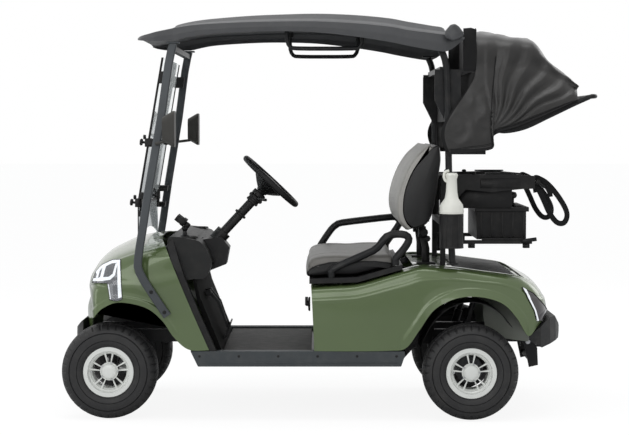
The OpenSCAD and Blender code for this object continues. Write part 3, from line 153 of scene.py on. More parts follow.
def material(name, color, rough=0.5, metallic=0.0, coat=0.0, coat_rough=0.08, sheen=0.0, mottle=0.08,
             mottle_scale=7.0, grain=0.0, grain_scale=500.0, grain_kind="noise", smudge=0.08, dust=0.0,
             specular=0.5, bands=None, band_depth=0.0, alpha=1.0, transmission=0.0, ior=1.45, emission=0.0):
    """A procedural finish: tone that drifts, uneven gloss, a fine grain, and bands for ribs or weave."""
    m = bpy.data.materials.new(name)
    m.use_nodes = True
    nt = m.node_tree
    b = nt.nodes["Principled BSDF"]
    b.inputs["Metallic"].default_value = metallic
    b.inputs["Coat Weight"].default_value = coat
    b.inputs["Coat Roughness"].default_value = coat_rough
    b.inputs["Sheen Weight"].default_value = sheen
    b.inputs["Sheen Roughness"].default_value = 0.4
    b.inputs["Specular IOR Level"].default_value = specular
    b.inputs["Transmission Weight"].default_value = transmission
    b.inputs["IOR"].default_value = ior
    b.inputs["Alpha"].default_value = alpha
    co = nt.nodes.new("ShaderNodeTexCoord")

    def noise(scale, detail=3.0, roughness=0.55):
        n = nt.nodes.new("ShaderNodeTexNoise")
        n.inputs["Scale"].default_value = scale
        n.inputs["Detail"].default_value = detail
        n.inputs["Roughness"].default_value = roughness
        nt.links.new(co.outputs["Object"], n.inputs["Vector"])
        return n.outputs["Fac"]

    base = linear(color)
    ramp = nt.nodes.new("ShaderNodeValToRGB")
    lo = [v * (1 - mottle * 2) for v in base[:3]] + [1]
    hi = [min(v * (1 + mottle * 2), 1) for v in base[:3]] + [1]
    ramp.color_ramp.elements[0].position = 0.3
    ramp.color_ramp.elements[0].color = lo
    ramp.color_ramp.elements[1].position = 0.7
    ramp.color_ramp.elements[1].color = hi
    nt.links.new(noise(mottle_scale), ramp.inputs["Fac"])
    color_out = ramp.outputs["Color"]
    if dust:
        up = nt.nodes.new("ShaderNodeMixRGB")
        up.inputs[2].default_value = linear((150, 146, 138))
        fade = nt.nodes.new("ShaderNodeMapRange")
        fade.inputs["From Min"].default_value = 0.45
        fade.inputs["From Max"].default_value = 0.8
        fade.inputs["To Max"].default_value = dust
        nt.links.new(noise(23, 6), fade.inputs["Value"])
        nt.links.new(fade.outputs[0], up.inputs[0])
        nt.links.new(color_out, up.inputs[1])
        color_out = up.outputs[0]
    nt.links.new(color_out, b.inputs["Base Color"])
    gloss = nt.nodes.new("ShaderNodeMapRange")
    gloss.inputs["To Min"].default_value = max(rough - smudge, 0.02)
    gloss.inputs["To Max"].default_value = min(rough + smudge, 1)
    nt.links.new(noise(31, 4), gloss.inputs["Value"])
    nt.links.new(gloss.outputs[0], b.inputs["Roughness"])
    height = None
    if bands:
        for axis, period in bands:
            w = nt.nodes.new("ShaderNodeTexWave")
            w.bands_direction = axis
            w.inputs["Scale"].default_value = 0.314 / period
            w.inputs["Distortion"].default_value = 0.0
            nt.links.new(co.outputs["Object"], w.inputs["Vector"])
            bump = nt.nodes.new("ShaderNodeBump")
            bump.inputs["Strength"].default_value = 1.0
            bump.inputs["Distance"].default_value = band_depth
            nt.links.new(w.outputs["Fac"], bump.inputs["Height"])
            if height:
                nt.links.new(height, bump.inputs["Normal"])
            height = bump.outputs["Normal"]
    if grain:
        if grain_kind == "cells":
            g = nt.nodes.new("ShaderNodeTexVoronoi")
            g.inputs["Scale"].default_value = grain_scale
            nt.links.new(co.outputs["Object"], g.inputs["Vector"])
            g = g.outputs["Distance"]
        else:
            g = noise(grain_scale, 2.0, 0.6)
        bump = nt.nodes.new("ShaderNodeBump")
        bump.inputs["Strength"].default_value = grain
        bump.inputs["Distance"].default_value = 0.0006
        nt.links.new(g, bump.inputs["Height"])
        if height:
            nt.links.new(height, bump.inputs["Normal"])
        height = bump.outputs["Normal"]
    if height:
        nt.links.new(height, b.inputs["Normal"])
    if emission:
        b.inputs["Emission Color"].default_value = base
        b.inputs["Emission Strength"].default_value = emission
    return m


CELLS = dict(grain_kind="cells")
VINYL = dict(grain_scale=520, grain_kind="cells", coat=0.1, coat_rough=0.35)
GLOSS = dict(coat=1.0, coat_rough=0.03)

paint = material("paint_green", (80, 97, 58), 0.30, metallic=0.25, coat=0.7, coat_rough=0.05, mottle=0.02,
                 mottle_scale=3, grain=0.05, grain_scale=1500, smudge=0.04)
slate = material("plastic_slate", (52, 57, 60), 0.55, mottle=0.05, grain=0.35, grain_scale=900, dust=0.06)
roof_plastic = material("plastic_roof", (63, 64, 66), 0.46, mottle=0.04, grain=0.3, grain_scale=700, dust=0.03)
black_plastic = material("plastic_black", (15, 15, 16), 0.45, specular=0.32, mottle=0.1, grain=0.35,
                         grain_scale=800, dust=0.04)
dash_plastic = material("plastic_dash", (17, 18, 18), 0.5, specular=0.34, grain=0.6, grain_scale=420, dust=0.03,
                        **CELLS)
bumper_plastic = material("plastic_bumper", (21, 22, 23), 0.52, specular=0.35, grain=0.4, grain_scale=600, dust=0.08)
toe_black = material("plastic_toe", (9, 9, 9), 0.9, specular=0.12, mottle=0.06, mottle_scale=9)
mirror_shell = material("plastic_mirror", (54, 53, 50), 0.5, specular=0.35, mottle=0.05, mottle_scale=9)
# The skirt's grey is lightened to cancel the shade it sits in under the rear body: painted light.
skirt_grey_painted_light = material("skirt_grey_painted_light", (120, 124, 116), 0.5, mottle=0.06, grain=0.3, grain_scale=600, dust=0.1)
rubber = material("rubber_tyre", (28, 28, 29), 0.56, mottle=0.05, grain=0.25, dust=0.04)
rubber_mat = material("rubber_mat", (24, 24, 24), 0.68, mottle=0.1, bands=[("Y", 0.014)], band_depth=0.0016,
                      grain=0.3, grain_scale=600, dust=0.12)
deck_rubber = material("rubber_deck", (28, 29, 30), 0.6, mottle=0.1, bands=[("Y", 0.022)], band_depth=0.0018,
                       grain=0.35, grain_scale=600, dust=0.08)
grip_rubber = material("rubber_grip", (13, 13, 14), 0.5, specular=0.34, mottle=0.1, grain=0.7, grain_scale=380,
                       **CELLS)
steel_black = material("steel_black", (17, 18, 20), 0.42, metallic=0.1, specular=0.34, grain=0.25, grain_scale=300,
                       dust=0.05)
steel_strut = material("steel_strut", (62, 66, 69), 0.42, metallic=0.3, mottle=0.05, grain=0.2, grain_scale=400)
steel_raw = material("steel_raw", (112, 114, 116), 0.38, metallic=0.85, mottle=0.12, grain=0.3, grain_scale=250)
bolt_zinc = material("bolt_zinc", (178, 180, 182), 0.3, metallic=0.95, mottle=0.06, grain=0.1, grain_scale=700)
cast_grey = material("cast_grey", (64, 66, 68), 0.55, metallic=0.5, mottle=0.12, grain=0.6, grain_scale=260, dust=0.1)
motor_paint = material("motor_paint", (28, 29, 30), 0.5, metallic=0.4, mottle=0.1, bands=[("Y", 0.012)],
                       band_depth=0.0012, grain=0.3, grain_scale=400, dust=0.1)
rim_white = material("rim_white", (222, 224, 220), 0.3, coat=0.5, mottle=0.02, grain=0.08, grain_scale=900)
bottle_white = material("bottle_white", (226, 226, 218), 0.4, mottle=0.02, grain=0.12, coat=0.1)
seat_black = material("vinyl_black", (15, 15, 16), 0.40, specular=0.36, grain=0.6, **VINYL)
seat_grey = material("vinyl_grey", (150, 148, 143), 0.46, mottle=0.05, grain=0.55, **VINYL)
# A darker copy of the grey vinyl for the seat's top, which is the same vinyl as the backrest: painted shade.
seat_grey_painted_shade = material("vinyl_grey_seat_painted_shade", (104, 102, 98), 0.46, mottle=0.05, grain=0.55, **VINYL)
cover_cloth = material("cover_cloth", (27, 26, 25), 0.36, specular=0.4, sheen=0.05, mottle_scale=5, coat=0.25,
                       coat_rough=0.3, bands=[("X", 0.0022), ("Z", 0.0022)], band_depth=0.00012, grain=0.35,
                       grain_scale=240)
cover_hem = material("cover_hem", (13, 13, 14), 0.7, specular=0.3, sheen=0.05, mottle=0.1, bands=[("X", 0.0026)],
                     band_depth=0.0003, grain=0.4, grain_scale=700)
webbing = material("webbing_black", (14, 14, 15), 0.75, specular=0.3, sheen=0.08, mottle=0.12,
                   bands=[("Y", 0.0042), ("Z", 0.0030)], band_depth=0.0005, grain=0.5, grain_scale=900)
glass = material("glass_clear", (244, 250, 250), 0.03, transmission=1.0, ior=1.2, mottle=0.004, smudge=0.01)
lens_clear = material("lens_clear", (236, 240, 243), 0.04, mottle=0.01, coat=0.6, coat_rough=0.02, smudge=0.02,
                      alpha=0.07)
lens_tail = material("lens_tail", (40, 36, 40), 0.12, mottle=0.12, **GLOSS)
lamp_white = material("lamp_white", (238, 242, 246), 0.2, mottle=0.01, emission=0.25, **GLOSS)
lamp_dark = material("lamp_dark", (40, 42, 50), 0.12, mottle=0.1, metallic=0.3, **GLOSS)

# SHAPE HELPERS


def add(name, verts, faces, mats, body, smooth=35):
    me = bpy.data.meshes.new(name)
    me.from_pydata([tuple(v) for v in verts], [], faces)
    me.validate()
    ob = bpy.data.objects.new(name, me)
    scene.collection.objects.link(ob)
    for m in (mats if isinstance(mats, (list, tuple)) else [mats]):
        me.materials.append(m)
    shade(ob, smooth)
    if body:
        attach(ob, body)
    return ob


def shade(ob, angle=35):
    me = ob.data
    me.polygons.foreach_set("use_smooth", [angle > 0] * len(me.polygons))
    if 0 < angle < 180:
        me.set_sharp_from_angle(angle=math.radians(angle))
    me.update()


def settle(ob):
    """Applies the modifiers of a piece."""
    deps = bpy.context.evaluated_depsgraph_get()
    me = bpy.data.meshes.new_from_object(ob.evaluated_get(deps))
    old = ob.data
    ob.modifiers.clear()
    ob.data = me
    bpy.data.meshes.remove(old)


def fix_normals(ob):
    bm = bmesh.new()
    bm.from_mesh(ob.data)
    bmesh.ops.recalc_face_normals(bm, faces=bm.faces)
    bm.to_mesh(ob.data)
    bm.free()


def body_of(node):
    for body, members in frame["record"]["behaviour"]["bodies"].items():
        if node in members:
            return body
    return "chassis"


def dress(node, mat, bevel, angle):
    """A copy of a CAD node with its facets joined, its edges rounded and its curves shaded smooth."""
    me = nodes[node].data.copy()
    ob = bpy.data.objects.new(node + "_dressed", me)
    scene.collection.objects.link(ob)
    bm = bmesh.new()
    bm.from_mesh(me)
    bmesh.ops.remove_doubles(bm, verts=bm.verts, dist=2e-5)
    bmesh.ops.dissolve_limit(bm, angle_limit=math.radians(0.6), verts=bm.verts, edges=bm.edges)
    bm.to_mesh(me)
    bm.free()
    me.materials.clear()
    me.materials.append(mat)
    shade(ob, angle)
    if bevel:
        mod = ob.modifiers.new("round", "BEVEL")
        mod.width = bevel
        mod.segments = 2
        mod.limit_method = "ANGLE"
        mod.angle_limit = math.radians(angle)
        mod.harden_normals = True
        mod.use_clamp_overlap = True
        settle(ob)
    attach(ob, body_of(node))
    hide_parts(node)


# Each node's finish and the rounding of its edges
finishes = {
    "chassis_frame": (steel_black, 0.002), "front_axle": (cast_grey, 0.0015), "rear_axle": (cast_grey, 0.002),
    "drive_motor": (motor_paint, 0.002), "battery_pack": (black_plastic, 0.004), "toe_board": (toe_black, 0.002),
    "dashboard": (dash_plastic, 0.010), "floor_mat": (rubber_mat, 0.002), "sills": (slate, 0.004),
    "front_bumper": (bumper_plastic, 0.003), "pedals": (steel_black, 0.002), "steering_column": (black_plastic, 0.005),
    "front_struts": (steel_strut, 0.002), "windshield_clips": (black_plastic, 0.002), "roof_bars": (steel_black, 0),
    "rear_struts": (steel_black, 0), "deck_mat": (deck_rubber, 0.002), "rear_bumper": (bumper_plastic, 0.003),
    "bag_rack": (black_plastic, 0.003), "storage_box": (black_plastic, 0.002),
    "sand_bottle": (bottle_white, 0.001), "bottle_holder": (black_plastic, 0.002),
    "cover_frame": (steel_black, 0.0015), "mirrors": (mirror_shell, 0.001), "seat_pan": (black_plastic, 0.003),
    "arm_rails": (steel_black, 0), "cover_bow": (steel_black, 0), "steering_wheel": (grip_rubber, 0.001),
    "knuckle_left": (cast_grey, 0.0015), "knuckle_right": (cast_grey, 0.0015), "tie_rod": (steel_raw, 0.001),
    "cowl_trim": (black_plastic, 0.002), "tail_lamps": (lens_tail, 0.0005), "windshield_lower": (glass, 0),
    "windshield_upper": (glass, 0)}
CORNERS = ("front_left", "front_right", "rear_left", "rear_right")
for corner in CORNERS:
    finishes["rim_" + corner] = (rim_white, 0.0012)
tubes = ("roof_bars", "rear_struts", "arm_rails", "cover_bow")
for node, (mat, bevel) in finishes.items():
    dress(node, mat, bevel, 48 if node in tubes else 32)

# SURFACES

FX, RX = 1.038, -0.662  # front and rear axle
SIDES = (1, -1)
TAGGED = ((1, "left"), (-1, "right"))


def F(x):
    """X of a point x mm ahead of the front axle."""
    return FX + x / 1000


def R(x):
    """X of a point x mm ahead of the rear axle."""
    return RX + x / 1000


def pf(points):
    return [(F(x), z / 1000) for x, z in points]


def pr(points):
    return [(R(x), z / 1000) for x, z in points]


def step(x):
    """Rises smoothly from 0 to 1 as x does."""
    x = np.clip(x, 0, 1)
    return x * x * (3 - 2 * x)


def bell(x, w):
    return np.exp(-(x / w) ** 2)


def spline(points, n=6, closed=False):
    p = np.array(points, float)
    m = len(p)
    out = []
    for i in range(m if closed else m - 1):
        if closed:
            a, b, c, d = p[i - 1], p[i], p[(i + 1) % m], p[(i + 2) % m]
        else:
            a, b, c, d = p[max(i - 1, 0)], p[i], p[i + 1], p[min(i + 2, m - 1)]
        for k in range(n):
            t = k / n
            out.append(0.5 * (2 * b + (c - a) * t + (2 * a - 5 * b + 4 * c - d) * t * t
                              + (3 * b - a - 3 * c + d) * t ** 3))
    if not closed:
        out.append(p[-1])
    return np.array(out)


def smooth_grid(g, nr, nc):
    g = np.array(g, float)
    lines = np.array([spline(g[:, j], nr) for j in range(g.shape[1])]).transpose(1, 0, 2)
    return np.array([spline(row, nc) for row in lines])


def mirrored(rows, x0):
    """Half rows in mm from x0, made whole across the centre plane."""
    out = []
    for row in rows:
        half = [(x0 + p[0] / 1000, p[1] / 1000, p[2] / 1000) for p in row]
        out.append([(x, -y, z) for x, y, z in half] + half[-2::-1])
    return out


def normals_of(g):
    n = np.cross(np.gradient(g, axis=0), np.gradient(g, axis=1))
    return n / np.maximum(np.linalg.norm(n, axis=2, keepdims=True), 1e-9)


def to_line(points, line):
    """Distance of each point to a polyline, both in the X-Z plane."""
    best = np.full(points.shape[:-1], 9.0)
    for a, b in zip(line[:-1], line[1:]):
        ab = b - a
        t = np.clip(((points - a) @ ab) / max(ab @ ab, 1e-12), 0, 1)
        best = np.minimum(best, np.linalg.norm(points - a - t[..., None] * ab, axis=-1))
    return best


def panel(name, g, mats, body, thick, angle=50, pick=None, replaces=()):
    """A curved panel from a grid of points, with its thickness inwards."""
    n, m = g.shape[:2]
    faces = [(i * m + j, (i + 1) * m + j, (i + 1) * m + j + 1, i * m + j + 1)
             for i in range(n - 1) for j in range(m - 1)]
    ob = add(name, g.reshape(-1, 3), faces, mats, body, angle)
    if pick is not None:
        for k, f in enumerate(ob.data.polygons):
            f.material_index = pick(k // (m - 1), k % (m - 1))
    mod = ob.modifiers.new("thick", "SOLIDIFY")
    mod.thickness = thick
    mod.offset = -1
    settle(ob)
    shade(ob, angle)
    for node in replaces:
        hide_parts(node)
    return ob


class Heap:
    """Many small solids gathered in one mesh."""

    def __init__(self):
        self.verts, self.faces = [], []

    def grid(self, rings, caps=True):
        base, m = len(self.verts), len(rings[0])
        for ring in rings:
            self.verts += [tuple(v) for v in ring]
        for i in range(len(rings) - 1):
            for j in range(m):
                k = (j + 1) % m
                self.faces.append((base + i * m + j, base + i * m + k, base + (i + 1) * m + k, base + (i + 1) * m + j))
        if caps:
            self.faces.append(tuple(base + j for j in reversed(range(m))))
            self.faces.append(tuple(base + (len(rings) - 1) * m + j for j in range(m)))

    def lathe(self, center, axis, profile, n=24, spin=0.0):
        c, ax = Vector(center), Vector(axis).normalized()
        u = ax.orthogonal().normalized()
        v = ax.cross(u)
        self.grid([[c + ax * h + (u * math.cos(a) + v * math.sin(a)) * max(r, 1e-5)
                    for a in [spin + 2 * math.pi * k / n for k in range(n)]] for r, h in profile])

    def bolt(self, center, axis, r=0.008, h=0.006):
        self.lathe(center, axis, [(r * 1.45, 0), (r * 1.45, 0.0014), (r * 1.35, 0.002)], 24)
        self.lathe(center, axis, [(r, 0.002), (r, h * 0.8), (r * 0.86, h)], 6)

    def screw(self, center, axis, r=0.006, h=0.003):
        self.lathe(center, axis, [(r, 0), (r, h * 0.4), (r * 0.8, h * 0.85), (r * 0.4, h), (r * 0.36, h * 0.55),
                                  (0, h * 0.5)], 18)

    def box(self, x0, x1, y0, y1, z0, z1):
        self.grid([[(x0, y0, z0), (x1, y0, z0), (x1, y1, z0), (x0, y1, z0)],
                   [(x0, y0, z1), (x1, y0, z1), (x1, y1, z1), (x0, y1, z1)]])

    def turned_box(self, center, size, degrees, axis="Y"):
        m = Matrix.Rotation(math.radians(degrees), 3, axis)
        c, (a, b, h) = Vector(center), [s / 2 for s in size]
        self.grid([[c + m @ Vector((x, y, z)) for x, y in ((-a, -b), (a, -b), (a, b), (-a, b))] for z in (-h, h)])

    def side_box(self, side, x0, x1, y0, y1, z0, z1):
        self.box(x0, x1, *sorted((side * y0, side * y1)), z0, z1)

    def slab(self, outline, y0, y1):
        self.grid([[(x, y0, z) for x, z in outline], [(x, y1, z) for x, z in outline]])

    def side_slab(self, side, outline, y0, y1):
        self.slab(outline, *sorted((side * y0, side * y1)))

    def sweep(self, path, section, side=None, closed=False):
        """A section carried along a path; side fixes the section's first axis, such as a strap's width."""
        path = [Vector(p) for p in path]
        n = len(path)
        rings, u = [], None
        for i, p in enumerate(path):
            a, b = (path[i - 1], path[(i + 1) % n]) if closed else (path[max(i - 1, 0)], path[min(i + 1, n - 1)])
            t = (b - a).normalized()
            if side is not None:
                s = Vector(side[i] if isinstance(side, list) else side)
                u = (s - t * s.dot(t)).normalized()
            else:
                u = t.orthogonal().normalized() if u is None else (u - t * u.dot(t)).normalized()
            v = t.cross(u)
            rings.append([p + u * q[0] + v * q[1] for q in section])
        if closed:
            rings.append(rings[0])
        self.grid(rings, caps=not closed)

    def tube(self, path, r, n=16, closed=False):
        self.sweep(path, [(r * math.cos(2 * math.pi * k / n), r * math.sin(2 * math.pi * k / n)) for k in range(n)],
                   closed=closed)

    def make(self, name, mat, bevel=0.0, body="chassis", angle=35):
        ob = add(name, self.verts, self.faces, mat, body, angle)
        fix_normals(ob)
        if bevel:
            mod = ob.modifiers.new("round", "BEVEL")
            mod.width, mod.segments, mod.limit_method = bevel, 2, "ANGLE"
            mod.angle_limit = math.radians(40)
            mod.harden_normals = True
            settle(ob)
        shade(ob, angle)
        return ob


def flat_section(w, t):
    return [(-w / 2, -t / 2), (w / 2, -t / 2), (w / 2, t / 2), (-w / 2, t / 2)]


def tree_of(ob):
    return BVHTree.FromPolygons([v.co.copy() for v in ob.data.vertices], [tuple(f.vertices) for f in ob.data.polygons])


def laid(tree, x, z, side, lift):
    """The point of a surface seen from the side at x, z, lifted off it."""
    hit, n, _, _ = tree.ray_cast(Vector((x, side * 1.5, z)), Vector((0, -side, 0)))
    if hit is None:
        hit, n, _, _ = tree.find_nearest(Vector((x, side * 0.5, z)))
    if n.y * side < 0:
        n = -n
    return hit + n * lift


def dense(outline, gap):
    out = []
    for i, a in enumerate(outline):
        a, b = Vector(a), Vector(outline[(i + 1) % len(outline)])
        k = max(int((b - a).length / gap), 1)
        out += [a.lerp(b, j / k) for j in range(k)]
    return out


def patch(name, tree, outline, side, lift, mat, depth=0.004, gap=0.006):
    """A thin piece that follows a surface inside an outline given in side view."""
    edge = dense(outline, gap)
    n = len(edge)
    xs, zs = [p[0] for p in edge], [p[1] for p in edge]
    inner = []
    for i in range(int((max(xs) - min(xs)) / gap) + 1):
        for k in range(int((max(zs) - min(zs)) / gap) + 1):
            q = Vector((min(xs) + i * gap, min(zs) + k * gap))
            inside = False
            for a, b in zip(edge, edge[1:] + edge[:1]):
                if (a[1] > q[1]) != (b[1] > q[1]) and q[0] < (b[0] - a[0]) * (q[1] - a[1]) / (b[1] - a[1]) + a[0]:
                    inside = not inside
            if inside and min((q - e).length for e in edge) > gap * 0.6:
                inner.append(q)
    pts, _, tris, _, _, _ = geometry.delaunay_2d_cdt(edge + inner, [], [list(range(n))], 1, 1e-6)
    top = [laid(tree, p[0], p[1], side, lift) for p in pts]
    low = [laid(tree, p[0], p[1], side, lift - depth) for p in pts]
    k = len(top)
    rim = {}
    for f in tris:
        for a, b in zip(f, f[1:] + f[:1]):
            rim[(a, b)] = True
    faces = [tuple(f) for f in tris] + [tuple(k + v for v in reversed(f)) for f in tris]
    faces += [(b, a, k + a, k + b) for a, b in rim if (b, a) not in rim]
    ob = add(name, top + low, faces, mat, "chassis", 40)
    fix_normals(ob)
    shade(ob, 40)
    return ob


# BODY PANELS

cowl_rows = [
    [[-475, 570, 334], [-398, 571, 510], [-323, 570, 690], [-270, 535, 818], [-238, 300, 846], [-228, 0, 858]],
    [[-380, 572, 337], [-333, 572, 500], [-263, 570, 680], [-208, 530, 800], [-173, 300, 838], [-158, 0, 850]],
    [[-310, 573, 396], [-273, 573, 520], [-203, 570, 670], [-148, 525, 785], [-103, 300, 820], [-88, 0, 834]],
    [[-255, 574, 476], [-218, 574, 560], [-153, 566, 670], [-93, 520, 768], [-38, 300, 795], [-8, 0, 797]],
    [[-177, 574, 535], [-148, 574, 590], [-103, 566, 665], [-43, 512, 750], [17, 300, 768], [42, 0, 768]],
    [[-55, 574, 558], [-48, 572, 600], [-28, 560, 665], [17, 500, 730], [62, 290, 735], [84, 0, 724]],
    [[22, 570, 528], [22, 562, 585], [30, 545, 650], [57, 480, 695], [92, 280, 690], [110, 0, 680]],
    [[61, 555, 486], [67, 540, 560], [74, 510, 620], [90, 440, 650], [114, 260, 645], [130, 0, 642]],
    [[77, 470, 482], [87, 440, 540], [97, 400, 580], [107, 340, 600], [126, 200, 600], [142, 0, 597]],
    [[87, 380, 474], [92, 350, 508], [100, 310, 545], [110, 260, 560], [124, 150, 563], [136, 0, 562]],
    [[100, 290, 458], [112, 262, 475], [122, 230, 490], [132, 180, 496], [146, 100, 496], [153, 0, 496]],
    [[112, 234, 412], [120, 212, 415], [130, 180, 417], [138, 130, 417], [148, 70, 417], [153, 0, 417]],
    [[112, 226, 385], [120, 205, 383], [128, 172, 382], [134, 125, 382], [141, 68, 382], [144, 0, 382]]]
nr, nc = 10, 22
g = smooth_grid(mirrored(cowl_rows, FX), nr, nc)
nrm = normals_of(g)
c = 5 - np.abs(5 - np.arange(g.shape[1]) / nc)[None, :]
q = (np.arange(g.shape[0]) / nr)[:, None]
X, Y, Z = g[..., 0], g[..., 1], g[..., 2]
edge = g[:, -1][:, [0, 2]]
lift = -0.0035 * step((c - 3.02) / 0.12) * step((6.6 - q) / 1.2)
lift = lift + 0.0012 * bell(c - 2.98, 0.06) * step((6.6 - q) / 1.2)
lift = lift + 0.0032 * step((0.855 - X) / 0.011) * step((0.779 - Z) / 0.010) * step((Z - 0.58) / 0.12)
lift = lift - 0.0055 * bell(Z - 0.634, 0.011) * step((X - 1.02) / 0.05) * step((np.abs(Y) - 0.18) / 0.12)
far = to_line(g[..., [0, 2]], edge[:85])
lift = lift + 0.0045 * (1 - step((far - 0.024) / 0.008)) * step((np.abs(Y) - 0.46) / 0.03) * step((Z - 0.40) / 0.05)
cowl = panel("cowl_skin", g + nrm * lift[..., None], paint, "chassis", 0.004, 60, replaces=("front_cowl",))
cowl_tree = tree_of(cowl)

rear_rows = [
    [[734, 566, 329.4], [740, 568, 480], [746, 566, 585], [748, 545, 622], [749, 500, 629], [749, 460, 629]],
    [[662, 572, 329.4], [662, 574, 480], [662, 570, 590], [662, 548, 628], [662, 500, 635], [662, 450, 635]],
    [[531, 573, 329.4], [531, 575, 490], [531, 570, 600], [531, 548, 638], [531, 500, 645], [531, 450, 645]],
    [[382, 573, 332], [382, 575, 510], [382, 570, 640], [382, 548, 680], [382, 500, 687], [382, 450, 687]],
    [[306, 574, 345], [306, 575, 520], [306, 570, 662], [306, 548, 702], [306, 500, 709], [306, 450, 709]],
    [[242, 578, 430], [242, 575, 560], [242, 570, 680], [242, 548, 718], [242, 500, 724], [242, 450, 724]],
    [[172, 582, 526], [172, 575, 600], [172, 570, 682], [172, 548, 717], [172, 500, 723], [172, 450, 723]],
    [[70, 584, 577], [70, 575, 620], [70, 570, 676], [70, 548, 709], [70, 500, 716], [70, 450, 716]],
    [[-39, 584, 583], [-39, 575, 618], [-39, 569, 664], [-39, 545, 694], [-39, 498, 701], [-39, 450, 701]],
    [[-141, 584, 553], [-143, 574, 600], [-145, 566, 652], [-146, 540, 680], [-147, 494, 687], [-147, 450, 687]],
    [[-208, 582, 486], [-212, 572, 560], [-216, 560, 630], [-218, 532, 667], [-219, 488, 676], [-219, 450, 676]],
    [[-262, 576, 402], [-268, 566, 510], [-264, 548, 600], [-258, 518, 650], [-254, 476, 664], [-250, 440, 666]],
    [[-305, 560, 440], [-322, 546, 512], [-312, 520, 586], [-290, 486, 636], [-276, 448, 654], [-262, 420, 660]],
    [[-340, 500, 472], [-356, 480, 520], [-344, 452, 580], [-312, 420, 632], [-290, 390, 650], [-266, 370, 658]],
    [[-364, 340, 488], [-370, 330, 525], [-358, 310, 582], [-322, 290, 634], [-296, 270, 650], [-268, 256, 657]],
    [[-372, 0, 490], [-376, 0, 526], [-362, 0, 584], [-326, 0, 636], [-299, 0, 651], [-270, 0, 657]]]
loop = [[(R(p[0]), p[1] / 1000, p[2] / 1000) for p in row] for row in rear_rows]
loop += [[(x, -y, z) for x, y, z in row] for row in loop[-2::-1]]
nr, nc = 9, 14
g = smooth_grid(loop, nr, nc)
nrm = normals_of(g)
c = (np.arange(g.shape[1]) / nc)[None, :]
X, Y, Z = g[..., 0], g[..., 1], g[..., 2]
low_edge = g[3 * nr:12 * nr, 0][:, [0, 2]]
far = to_line(g[..., [0, 2]], low_edge)
on_side = step((np.abs(Y) - 0.50) / 0.03)
lift = 0.005 * (1 - step((far - 0.036) / 0.007)) * on_side * step((R(335) - X) / 0.03) * step((X - R(-275)) / 0.03)
lift = lift - 0.0035 * step((c - 1.80) / 0.14) * step((4.2 - c) / 0.5)
lift = lift + 0.0014 * bell(c - 1.74, 0.06)
rear = panel("rear_skin", g + nrm * lift[..., None], paint, "chassis", 0.004, 60)
if nrm[nr * 5, nc, 1] <= 0:
    rear.data.flip_normals()
rear_tree = tree_of(rear)
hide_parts("rear_body")

roof_rows = [
    [F(-133), 188, 136, 127, 123], [F(-158), 98, 142, 120, 110], [F(-218), 38, 147, 108, 92],
    [F(-300), 10, 145, 92, 76], [F(-330), 6, 142, 86, 57], [F(-438), 3, 120, 72, 34],
    [F(-638), 0, 106, 62, 14], [R(893), 0, 103, 58, 5], [R(716), 0, 109, 58, 0], [R(538), 0, 129, 67, 6],
    [R(384), 3, 153, 82, 20], [R(301), 6, 170, 97, 35], [R(183), 10, 191, 112, 56], [R(130), 20, 196, 118, 66],
    [R(108), 34, 190, 118, 96], [R(84), 48, 176, 116, 78], [R(34), 70, 136, 128, 122]]
roof_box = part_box("roof")
roof_top = 1.920
roof_half = 0.5 * (roof_box[1][1] - roof_box[0][1]) - 0.002


def roof_row(q):
    hw, low, up, rise = roof_half - q[1] / 1000, roof_top - q[2] / 1000, roof_top - q[3] / 1000, (q[3] - q[4]) / 1000
    half = [(hw, low), (hw + 0.002, (low + up) / 2), (hw - 0.005, up), (hw - 0.028, up + 0.12 * rise),
            (hw * 0.8, up + 0.35 * rise), (hw * 0.72, up + 0.78 * rise), (hw * 0.4, up + 0.94 * rise), (0, up + rise)]
    return [(q[0], -y, z) for y, z in half] + [(q[0], y, z) for y, z in half[-2::-1]]


roof_mid = 0.5 * (roof_box[1][1] + roof_box[0][1])
g = smooth_grid([roof_row(q) for q in reversed(roof_rows)], 6, 1)
g = np.array([[a + (b - a) * t / 6 for a, b in zip(row[:-1], row[1:]) for t in range(6)] + [row[-1]] for row in g])
g[..., 1] += roof_mid
nrm = normals_of(g)
if nrm[g.shape[0] // 2, g.shape[1] // 2, 2] < 0:
    nrm = -nrm
X, Y, Z = g[..., 0], np.abs(g[..., 1] - roof_mid), g[..., 2]
half_w = np.interp(X, [q[0] for q in reversed(roof_rows)], [roof_half - q[1] / 1000 for q in reversed(roof_rows)])
inset = half_w - Y
lift = -0.004 * bell(inset - 0.052, 0.006) * step((Z - 1.74) / 0.02)
lift = lift - 0.003 * bell(Y - 0.16, 0.008) * step((X - R(240)) / 0.08) * step((F(-420) - X) / 0.08)
lift = lift + 0.003 * step((0.15 - Y) / 0.02) * step((X - R(260)) / 0.06) * step((F(-440) - X) / 0.06)
roof = panel("roof_skin", g + nrm * lift[..., None], roof_plastic, "chassis", 0.004, 50)
if sum(f.normal.z for f in roof.data.polygons[: (g.shape[0] - 1) * (g.shape[1] - 1)]) < 0:
    roof.data.flip_normals()
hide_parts("roof")

# LAMPS

